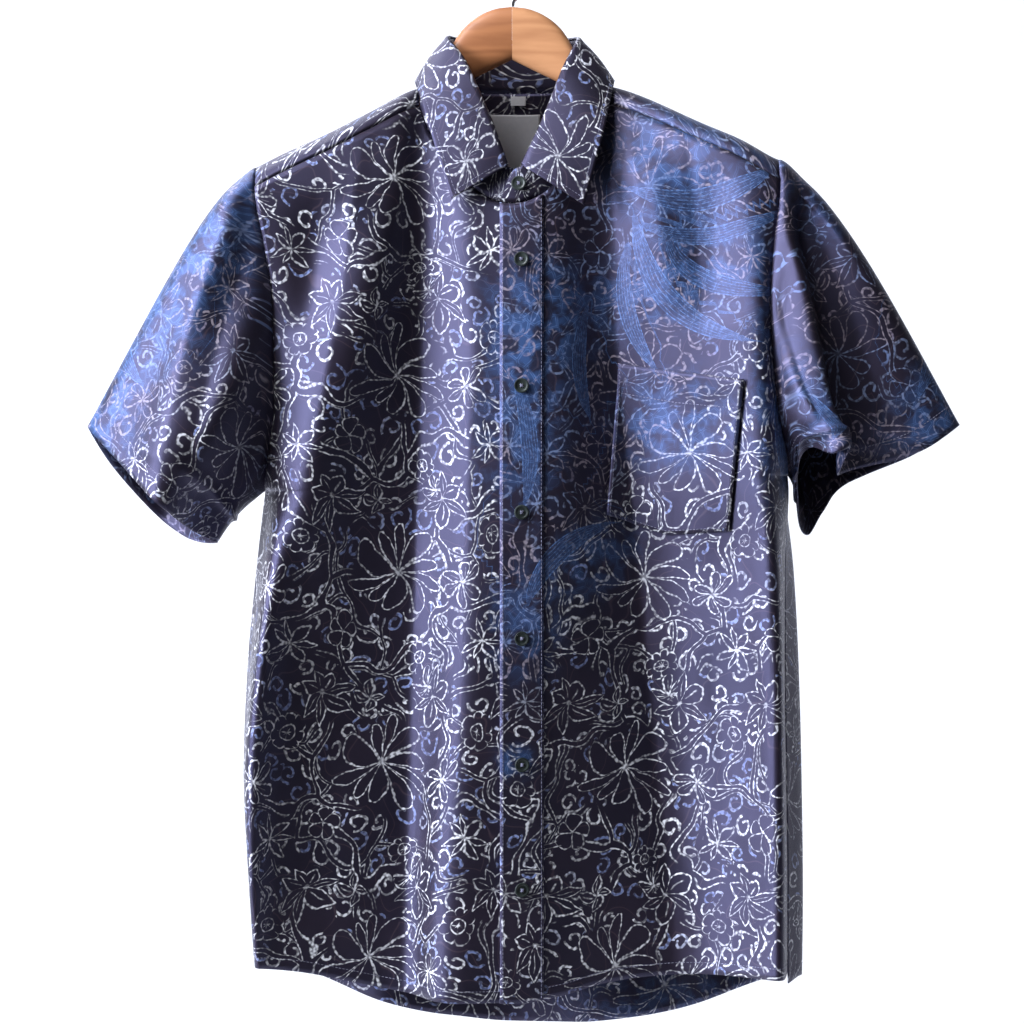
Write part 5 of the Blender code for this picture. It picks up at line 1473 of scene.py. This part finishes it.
def plume_field(x, drop, plumes):
    """Place across (-1 to 1, beyond that outside) and along the nearest of some plumes."""
    best, along_best = np.full(x.shape, PLAIN_DYE["plume"], float), np.zeros(x.shape)
    steps = np.linspace(0.0, 1.0, PLUME_STEPS)
    for start, bend, end, half_width in plumes:
        a, b, c = (np.array(p, float) for p in (start, bend, end))
        line = bend_through(a, b, c, steps[:, None])
        away = np.stack([np.hypot(x - p[0], drop - p[1]) for p in line])
        nearest = np.argmin(away, axis=0)
        t, foot = steps[nearest], line[nearest]
        heading = 2 * (1 - t)[..., None] * (b - a) + 2 * t[..., None] * (c - b)
        cross = heading[..., 0] * (drop - foot[..., 1]) - heading[..., 1] * (x - foot[..., 0])
        cross = cross / np.linalg.norm(heading, axis=-1)
        past_end = np.maximum(away.min(axis=0) - np.abs(cross), 0.0)
        width = half_width * (np.sin(math.pi * np.clip(t, 0.02, 0.98)) ** 0.6 + 0.08)
        across = np.sign(cross) * (np.abs(cross) + past_end) / width
        take = np.abs(across) < np.abs(best)
        best = np.where(take, across, best)
        along_best = np.where(take, t * np.hypot(*(c - a)), along_best)
    return best, along_best


def blue_side(node, x, drop):
    """How much of the place is on the blue side of the print, which has fainter lines."""
    if node == "sleeve_left":
        return 1.0 - HEM_WHITER * drop / SLEEVE_LENGTH
    if node == "sleeve_right":
        t = drop / SLEEVE_LENGTH
        return 1.0 - smoothstep((x / SLEEVE_GIRTH - 0.20 + 0.1 * t) / 0.10) * smoothstep(t / 0.6)
    x_from, x_reach, drop_to, slant, drop_reach = BLUE_SIDES[node]
    return smoothstep((x - x_from) / x_reach) * (1.0 - smoothstep((drop - drop_to + slant * x) / drop_reach))


def dye_body(node, x, drop):
    """The DYE values of a piece at (x, drop)."""
    x, drop = floats(x, drop)
    key = "front" if node in ("front_right", "front_left", "placket", "pocket") else node
    blue = sum(amount * blob(x, drop, *patch) for *patch, amount in BLUES[key])
    white = 1.0 - WHITE_LOSS.get(node, BLUE_SIDE_LOSS) * blue_side(node, x, drop)
    across, along = plume_field(x, drop, PLUMES.get(key, ()))
    return {"blue": np.clip(blue, 0, BLUE_MOST), "white": white, "plume": across, "plume_run": along}


# ---------------------------------------------------------------- stitching

def stitches(name, lines, thread):
    """Rows of stitches: each line is (points, outward normals) in mm along the sewing."""
    tubes = []
    radii = STITCH_RADIUS * np.array(column(STITCH_SHAPE, 1))
    for points, normals in lines:
        run = run_along(points)
        for k in range(int(run[-1] // STITCH_PITCH)):
            places = (k + np.array(column(STITCH_SHAPE, 0))) * STITCH_PITCH
            spots, away = between(places, run, points), unit(between(places, run, normals))
            side = unit(np.cross(away, unit(spots[-1] - spots[0])))
            middles = spots + away * (radii - STITCH_SUNK * STITCH_RADIUS)[:, None]
            tubes.append(round_points(middles, side, away, radii, STITCH_SIDES))
    return strands(f"stitches_{name}", tubes, STITCH_SIDES, thread)


def line_on_front(x, drop, lift):
    point, normal = front_at(*floats(x, drop))
    return point + normal * lift, normal


def placket_lines():
    for x in (PLACKET_EDGE + PLACKET_STITCH_IN, PLACKET_EDGE + PLACKET_WIDTH - PLACKET_STITCH_IN):
        top, foot = front_top_drop(x) + PLACKET_STITCH_TOP, read(FRONT_HEM, x) - PLACKET_STITCH_FOOT
        drops = np.linspace(float(top), float(foot), PLACKET_STITCH_STEPS)
        yield line_on_front(x, drops, LAY + TRIM)


def pocket_lines():
    """Round the pocket just inside its edge, and along the hem of its mouth."""
    edge_steps, mouth_steps = POCKET_STITCH_STEPS
    low, high = POCKET_STITCH_IN, 1.0 - POCKET_STITCH_IN
    corners = [(low, 0.0), (low, high), (0.5, high), (high, high), (high, 0.0)]
    path = np.concatenate([np.linspace(a, b, edge_steps) for a, b in zip(corners, corners[1:])])
    for spots in (path, np.linspace((0.0, POCKET_HEM), (1.0, POCKET_HEM), mouth_steps)):
        x, drop, lift = pocket_place(spots[:, 0], spots[:, 1])
        yield line_on_front(x, drop, lift + TRIM)


def hem_line(outer, inner, inset):
    """A line along a panel's foot, that far above its edge."""
    up, lines = run_along(outer[::-1]), []
    for grid in (outer, unit(outer - inner)):
        lines.append(np.array([between(inset, up[:, j], grid[::-1, j]) for j in range(up.shape[1])]))
    return lines


def collar_lines(outer):
    """Edge stitching round the collar's leaf, and the feet of its two ends."""
    normal = band_normals(outer)
    first, last = len(ROLL_STEPS), outer.shape[0] - 1
    down = np.linalg.norm(outer[-1] - outer[first], axis=1)
    spot = (first + (1.0 - COLLAR_STITCH_IN / down) * (last - first))[1:-1]
    i = np.minimum(spot.astype(int), last - 1)
    j, f = np.arange(1, outer.shape[1] - 1), (spot - i)[:, None]
    yield outer[i, j] * (1 - f) + outer[i + 1, j] * f, normal[i, j]
    for end, toward in ((0, 2), (-1, -3)):
        points = outer[:, end] + unit(outer[:, toward] - outer[:, end]) * COLLAR_STITCH_IN
        yield points[first:-1], normal[first:-1, end]


# ---------------------------------------------------------------- materials

class Value:
    """An output in a node tree, so that sums can be written as sums."""

    def __init__(self, graph, socket):
        self.graph, self.socket = graph, socket

    def __abs__(self):
        return self.graph.math("ABSOLUTE", self)


def add_operator(method, operation):
    setattr(Value, f"__{method}__", lambda self, other: self.graph.math(operation, self, other))
    setattr(Value, f"__r{method}__", lambda self, other: self.graph.math(operation, other, self))


add_operator("add", "ADD")
add_operator("sub", "SUBTRACT")
add_operator("mul", "MULTIPLY")
add_operator("truediv", "DIVIDE")


class Graph:
    """A new material's tree; add() and the calls made from it return an output as a Value."""

    def __init__(self, name, **sockets):
        self.mat = bpy.data.materials.new(name)
        self.mat.use_nodes = True
        self.tree = self.mat.node_tree
        self.shade({key.replace("_", " "): value for key, value in sockets.items()})

    def shade(self, inputs):
        """Set or link inputs of the material's shader."""
        self.feed(self.tree.nodes["Principled BSDF"], inputs)
        return self.mat

    def feed(self, node, inputs):
        for key, value in dict(inputs).items():
            if isinstance(value, Value):
                self.tree.links.new(value.socket, node.inputs[key])
            else:
                node.inputs[key].default_value = value

    def node(self, kind, inputs=(), **settings):
        node = self.tree.nodes.new(kind)
        for key, value in settings.items():
            setattr(node, key, value)
        self.feed(node, inputs)
        return node

    def add(self, kind, inputs=(), output=0, **settings):
        return Value(self, self.node(kind, inputs, **settings).outputs[output])

    def math(self, operation, *values, clamp=False):
        return self.add("ShaderNodeMath", dict(enumerate(values)), operation=operation, use_clamp=clamp)

    def most(self, first, *others):
        for other in others:
            first = self.math("MAXIMUM", first, other)
        return first

    def length(self, x, y):
        return self.math("SQRT", x * x + y * y)

    def vector(self, operation, *values, output=0):
        return self.add("ShaderNodeVectorMath", dict(enumerate(values)), output, operation=operation)

    def scaled(self, vector, factor):
        return self.add("ShaderNodeVectorMath", {0: vector, "Scale": factor}, operation="SCALE")

    def parts(self, vector):
        node = self.node("ShaderNodeSeparateXYZ", {0: vector})
        return [Value(self, node.outputs[k]) for k in range(3)]

    def attribute(self, name):
        return self.add("ShaderNodeAttribute", output="Fac", attribute_name=name)

    def cloth_place(self):
        """The place on the flat cloth, mm."""
        return self.scaled(self.add("ShaderNodeUVMap", uv_map="cloth"), 1000.0)

    def object_place(self):
        return self.add("ShaderNodeTexCoord", output="Object")

    def noise(self, vector, scale, detail=0.0, output="Fac", dimensions="2D"):
        inputs = {"Vector": vector, "Scale": scale, "Detail": detail}
        return self.add("ShaderNodeTexNoise", inputs, output, noise_dimensions=dimensions)

    def cell_edges(self, vector, pitch):
        """Distance in mm to the borders between random cells."""
        inputs = {"Vector": vector, "Scale": 1 / pitch, "Randomness": 1.0}
        settings = {"voronoi_dimensions": "2D", "feature": "DISTANCE_TO_EDGE"}
        return self.add("ShaderNodeTexVoronoi", inputs, "Distance", **settings) * pitch

    def ramp(self, value, low, high, to_low=0.0, to_high=1.0):
        inputs = {"Value": value, "From Min": low, "From Max": high, "To Min": to_low, "To Max": to_high}
        return self.add("ShaderNodeMapRange", inputs, interpolation_type="SMOOTHSTEP")

    def mix(self, share, one, two, kind="RGBA"):
        first, output = {"RGBA": (6, 2), "VECTOR": (4, 1)}[kind]
        return self.add("ShaderNodeMix", {0: share, first: one, first + 1: two}, output, data_type=kind)

    def stroke(self, distance, half_width, soft=LINE_SOFT):
        """1 within a line of that half width, falling to 0 at its soft edge."""
        return self.ramp(distance - half_width, -soft, soft, 1.0, 0.0)


def petals(g, spot, spec_a, spec_b, lean):
    """Distance in mm to the outline of a flower's petals, and the share of the way out.

    spec_a is (petal count, radius, turn) and spec_b (half width, pointedness, variety).
    """
    count, radius, turn = g.parts(spec_a)
    half, pointed, variety = g.parts(spec_b)
    x, y, _ = g.parts(spot)
    r = g.length(x, y)
    angle = g.math("ARCTAN2", y, x)
    angle = angle + turn + 0.16 * g.math("SINE", 3.0 * angle + turn * 5.0) + lean * (r / radius)
    sector = TURN / count
    index = g.math("ROUND", angle / sector)
    off = angle - index * sector
    chance = g.math("FRACT", g.math("SINE", index * 12.99 + turn * 7.0) * 43.7)
    reach = radius * (1.0 - variety * chance)
    out = r * g.math("COSINE", off)
    side = abs(r * g.math("SINE", off))
    t = g.math("DIVIDE", out, reach, clamp=True)
    s = g.math("SQRT", g.most(1.0 - t * t, 0.01))
    round_h = 2.0 * t * s
    round_slope = 2.0 * (1.0 - 2.0 * t * t) / s
    point_h = g.math("SINE", t * math.pi)
    point_slope = math.pi * g.math("COSINE", t * math.pi)
    h = half * (round_h + pointed * (point_h - round_h))
    slope = half / reach * (round_slope + pointed * (point_slope - round_slope))
    steep = g.math("SQRT", 1.0 + g.math("MINIMUM", slope * slope, 6.0))
    edge = abs(side - h) / steep
    over = g.most(out - reach, 0.0)
    edge = g.math("SQRT", edge * edge + over * over * 4.0)
    gap = g.most((side - h) / steep, over * 2.0)
    return edge, gap, side, t


def nearest_flower(g, spot):
    """Share of the way out of the nearest charted flower, the place in it, and its specs."""
    best = None
    for x, drop, count, radius, turn, half, pointed, variety, *details in FLOWERS:
        away = g.vector("SUBTRACT", spot, (x, -drop, 0.0))
        away = g.vector("WRAP", away, (TILE_X / 2, TILE_Y / 2, 1.0), (-TILE_X / 2, -TILE_Y / 2, -1.0))
        reach = g.vector("LENGTH", away, output="Value") / radius
        here = (away, (count, radius, math.radians(turn)), (half, pointed, variety), details)
        if best is None:
            best = (reach, *here)
            continue
        nearer = g.math("LESS_THAN", reach, best[0])
        mixed = [g.mix(nearer, old, new, "VECTOR") for old, new in zip(best[1:], here)]
        best = (g.math("MINIMUM", reach, best[0]), *mixed)
    return best


def curls(g, spot, pitch):
    """Distance in mm to a hook, one in each cell, to the ball at its inner end, and a chance."""
    inputs = {"Vector": spot, "Scale": 1.0 / pitch, "Randomness": 0.75}
    node = g.node("ShaderNodeTexVoronoi", inputs, voronoi_dimensions="2D")
    chance_a, chance_b, chance_c = g.parts(Value(g, node.outputs["Color"]))
    x, y, _ = g.parts(g.vector("SUBTRACT", spot, Value(g, node.outputs["Position"])))
    flip = g.math("GREATER_THAN", chance_c, 0.5) * 2.0 - 1.0
    angle = g.math("FRACT", g.math("ARCTAN2", y * flip, x) / TURN + chance_a) * TURN
    path = CURL_START + (0.45 + 0.75 * chance_b) * angle
    line = abs(g.length(x, y) - path) * 0.94
    ball_x = x - CURL_START * g.math("COSINE", chance_a * -TURN)
    ball_y = y * flip - CURL_START * g.math("SINE", chance_a * -TURN)
    return line, g.length(ball_x, ball_y), chance_c


def batik():
    """The print: dye and wax lines worked out in mm on the flat cloth."""
    g = Graph("batik_cotton_print", **CLOTH_FINISH)
    flat = g.cloth_place()
    sway = g.vector("SUBTRACT", g.noise(flat, 1 / 42.0, 1.0, "Color"), (0.5, 0.5, 0.5))
    wobble = g.vector("SUBTRACT", g.noise(flat, 1 / 8.0, 0.0, "Color"), (0.5, 0.5, 0.5))
    spot = g.vector("ADD", flat, g.scaled(sway, 12.0))
    spot = g.vector("ADD", spot, g.scaled(wobble, 1.6))
    beads = g.noise(flat, 1 / 2.6)
    patches = g.noise(flat, 1 / 24.0, 1.0)

    flower_reach, away, spec_a, spec_b, details = nearest_flower(g, spot)
    with_ring, with_vein, lean = g.parts(details)
    edge, gap, side, t = petals(g, away, spec_a, spec_b, lean)
    width = 0.14 + 0.62 * beads
    ring = g.stroke(abs(flower_reach - 0.40) * 12.5, width * 0.8) * with_ring
    vein = g.stroke(side, 0.3) * g.ramp(t, 0.2, 0.3) * g.ramp(t, 0.6, 0.75, 1.0, 0.0) * with_vein
    twin = g.stroke(abs(gap + 1.8), width * 0.6) * g.ramp(t, 0.3, 0.45) * (1.0 - with_vein)
    heart = g.ramp(flower_reach, 0.04, 0.09, 0.7, 0.0)
    flower = g.most(g.stroke(edge, width), ring, vein, twin, heart)
    flower = flower * g.ramp(flower_reach, 1.0, 1.12, 1.0, 0.0)
    free = g.ramp(flower_reach, 0.62, 0.7) * g.ramp(gap, 1.0, 1.8)

    hook, ball, chance = curls(g, spot, CURL_PITCH)
    curl = g.most(g.stroke(hook, width + 0.45), g.ramp(ball, 0.8, 1.4, 1.0, 0.0)) * free

    sway_more = g.vector("ADD", flat, g.scaled(sway, 38.0))
    vine_edge = g.cell_edges(sway_more, VINE_PITCH)
    vine = g.stroke(abs(vine_edge - VINE_GAP), width) * g.ramp(flower_reach, 0.8, 0.95)
    clear = g.ramp(vine_edge, VINE_GAP, VINE_GAP + 1.5)
    second = g.cell_edges(g.vector("ADD", sway_more, (11.0, 57.0, 0.0)), TWIG_PITCH)
    twig = g.stroke(abs(second - 1.6), width * 0.8) * clear * g.ramp(flower_reach, 0.95, 1.05)
    curl = curl * clear * g.ramp(second, 1.6, 3.0)
    ghost = g.stroke(abs(second - 9.0), 0.35, 0.4)

    blue, white, plume, _ = (g.attribute(name) for name in DYE)
    strength = g.ramp(patches, 0.25, 0.7, 0.45, 1.0) * g.ramp(beads, 0.34, 0.66, 0.30, 1.0)
    lines = g.most(g.most(flower, curl), g.most(vine, twig * 0.8)) * strength

    in_plume = g.ramp(abs(plume), 0.96, 1.02, 1.0, 0.0)
    barbs = abs(g.math("FRACT", plume * 3.0 + 0.5 + patches * 1.4) - 0.5)
    plume_edge = g.ramp(abs(abs(plume) - 0.95), 0.02, 0.07, 1.0, 0.0)
    plume_lines = g.most(g.ramp(barbs, 0.36, 0.48) * in_plume, plume_edge)

    wash = g.ramp(g.noise(flat, 1 / 15.0, 2.0), 0.36, 0.60)
    scales = abs(g.cell_edges(spot, 8.0) - 0.6)
    dyed = g.math("MULTIPLY", blue * 0.95, wash * 0.9 + 0.1, clamp=True)
    dyed = g.most(dyed, in_plume * (0.1 + 0.6 * patches))
    cloudy = g.noise(flat, 1 / 50.0)
    colour = g.mix(cloudy, GROUND_DARK, GROUND_PALE)
    colour = g.mix(ghost * 0.55, colour, BROWN_LINE)
    colour = g.mix(dyed * 0.8, colour, BLUE_DYE)
    colour = g.mix(g.stroke(scales, 0.3) * dyed * (0.2 + 0.8 * beads), colour, PLUME_LINE)
    tint = g.mix(g.most(g.ramp(chance, 0.45, 0.75) * curl, dyed), WHITE_LINE, BLUE_LINE)
    keep = lines * (1.0 - in_plume * 0.75)
    colour = g.mix(keep * white, colour, tint)
    thin = keep * (1.0 - white) * 0.85
    colour = g.mix(thin, colour, g.mix(g.ramp(cloudy, 0.46, 0.56), PINK_THIN, BLUE_THIN))
    colour = g.mix(plume_lines * g.ramp(beads, 0.35, 0.65, 0.2, 0.9), colour, PLUME_LINE)

    x, y, _ = g.parts(flat)
    weave = g.math("SINE", x * WEAVE) * g.math("SINE", y * WEAVE)
    bump = g.add("ShaderNodeBump", {"Height": weave, "Strength": 0.25, "Distance": 0.0002})
    return g.shade({"Base Color": colour, "Normal": bump})


def clouded(name, dark, pale, scale, roughness, metallic=0.0):
    """A plain finish whose colour drifts a little between two tones."""
    g = Graph(name, Roughness=roughness, Metallic=metallic)
    cloud = g.noise(g.object_place(), scale, 3.0, dimensions="3D")
    return g.shade({"Base Color": g.mix(g.ramp(cloud, 0.3, 0.7), (*dark, 1.0), (*pale, 1.0))})


def grained_wood(name, dark, pale):
    """Varnished wood, its grain running out along the arms."""
    g = Graph(name, Roughness=0.5, Coat_Weight=0.12, Coat_Roughness=0.2)
    inputs = {"Vector": g.object_place(), "Scale": (9.0, 60.0, 60.0)}
    turned = g.add("ShaderNodeMapping", inputs, vector_type="POINT")
    bent = g.noise(turned, 0.9, 2.0, dimensions="3D")
    fine = g.noise(turned, 6.0, 4.0, dimensions="3D")
    _, y, z = g.parts(turned)
    rings = g.math("FRACT", z * 1.3 + y * 0.5 + bent * 3.0)
    band = g.ramp(abs(rings - 0.5), 0.0, 0.5)
    return g.shade({"Base Color": g.mix(band * 0.5 + fine * 0.5, (*dark, 1.0), (*pale, 1.0))})


def woven_tape():
    """White woven tape with a fine rib, without any text."""
    g = Graph("woven_tape", Roughness=0.75)
    flat = g.cloth_place()
    x, y, _ = g.parts(flat)
    rib = g.math("SINE", y * TAPE_RIB) * g.math("SINE", x * TAPE_RIB) * 0.5 + 0.5
    # The colour darkens into the rib's hollows as painted shade, and drifts with the noise as the tape's own
    # uneven tone.
    colour = g.mix(rib * 0.5 + g.noise(flat, 0.3, 2.0) * 0.5, TAPE_SHADE, TAPE_WHITE)
    bump = g.add("ShaderNodeBump", {"Height": rib, "Strength": 0.4, "Distance": 0.0002})
    return g.shade({"Base Color": colour, "Normal": bump})


cloth = batik()
thread = clouded("sewing_thread", (0.10, 0.10, 0.15), (0.30, 0.30, 0.42), 300.0, 0.7)
tape = woven_tape()
resin = clouded("button_shell", (0.008, 0.012, 0.011), (0.035, 0.045, 0.042), 160.0, 0.35)
# One varnished wood in two brightnesses: the wearer's right arm is darker as painted shade, the left arm
# lighter as painted light; the grain in each is the wood's own.
wood = {
    "right": grained_wood("varnished_wood_painted_shade", (0.27, 0.095, 0.032), (0.42, 0.165, 0.06)),
    "left": grained_wood("varnished_wood_painted_light", (0.44, 0.19, 0.08), (0.64, 0.31, 0.14)),
}
steel = clouded("hook_wire", (0.55, 0.55, 0.56), (0.75, 0.75, 0.77), 90.0, 0.28, 1.0)


# ---------------------------------------------------------------- build

pieces = {
    "front_right": build_panel("front_right", cloth),
    "front_left": build_panel("front_left", cloth),
    "placket": build_placket(cloth),
    "pocket": build_pocket(cloth),
    "back": build_panel("back", cloth),
    "yoke": build_yoke(cloth),
    "sleeve_right": build_sleeve("right", cloth),
    "sleeve_left": build_sleeve("left", cloth),
    "collar_stand": build_stand(cloth),
}
pieces["collar_fall"], fall_outer = build_fall(cloth)
for name, *sizes in LABELS:
    pieces[name] = build_label(name, *sizes, tape)
for index in range(BUTTON_COUNT):
    point, normal = front_at(BUTTON_X, BUTTON_TOP_DROP + BUTTON_PITCH * index)
    build_button(f"button_{index + 1}", point + normal * (LAY + TRIM + LAY), normal, resin, thread)
foot, _ = front_at(COLLAR_BUTTON_X, front_top_drop(COLLAR_BUTTON_X))
base = 0.5 * (foot + collar_line(1.0, "roll")) + np.array([0.0, -COLLAR_BUTTON_FORWARD, 0.0])
build_button("button_collar", base, (0.0, -1.0, COLLAR_BUTTON_TILT), resin, thread)
for side in SIGN:
    build_arm(side, wood[side])
build_hook(steel)

stitches("placket", placket_lines(), thread)
stitches("pocket", pocket_lines(), thread)
hems = [hem_line(*body_walls(node), HEM_STITCH_UP) for node in ("front_right", "front_left", "back")]
hems += [hem_line(*sleeve_walls(side)[:2], SLEEVE_HEM_UP) for side in SIGN]
stitches("hems", hems, thread)
stitches("collar", collar_lines(fall_outer), thread)

# ---------------------------------------------------------------- stage and camera

def add_stage():
    """Floor that bends up into a wall."""
    angles = 0.5 * math.pi * np.linspace(0.0, 1.0, 13)
    ys = STAGE_DEPTH - STAGE_BEND * (1.0 - np.sin(angles))
    zs = STAGE_FLOOR + STAGE_BEND * (1.0 - np.cos(angles))
    profile = [(-STAGE_NEAR, STAGE_FLOOR), *zip(ys.tolist(), zs.tolist()), (STAGE_DEPTH, STAGE_WALL)]
    verts = [(side * STAGE_HALF, y, z) for y, z in profile for side in (-1.0, 1.0)]
    faces = [(2 * k, 2 * k + 1, 2 * k + 3, 2 * k + 2) for k in range(len(profile) - 1)]
    mesh = bpy.data.meshes.new("stage")
    mesh.from_pydata(verts, [], faces)
    mesh.shade_smooth()
    paper = {"Base Color": (0.9, 0.9, 0.9, 1.0), "Roughness": 0.9}
    mesh.materials.append(Graph("pale_paper").shade(paper))
    add_object("stage", mesh)


def add_light(name, place_from, aim, size, power, colour):
    data = bpy.data.lights.new(name, "AREA")
    data.shape = "RECTANGLE"
    data.size, data.size_y = size
    data.energy = power
    data.color = colour
    light = add_object(name, data)
    light.location = place_from
    direction = Vector(aim) - Vector(place_from)
    light.rotation_euler = direction.to_track_quat("-Z", "Y").to_euler()


add_stage()
for row in LIGHTS:
    add_light(*row)
world = bpy.data.worlds.new("studio")
world.use_nodes = True
background = world.node_tree.nodes["Background"]
background.inputs["Color"].default_value = WORLD_COLOUR
background.inputs["Strength"].default_value = WORLD_STRENGTH
scene = bpy.context.scene
scene.world = world

camera = add_object("camera", bpy.data.cameras.new("camera"))
camera.location = (0.0, -CAMERA_AWAY, CAMERA_Z)
camera.rotation_euler = (0.5 * math.pi, 0.0, 0.0)
camera.data.angle = CAMERA_ANGLE
camera.data.clip_end = 60.0
scene.camera = camera
scene.view_settings.view_transform = "Standard"
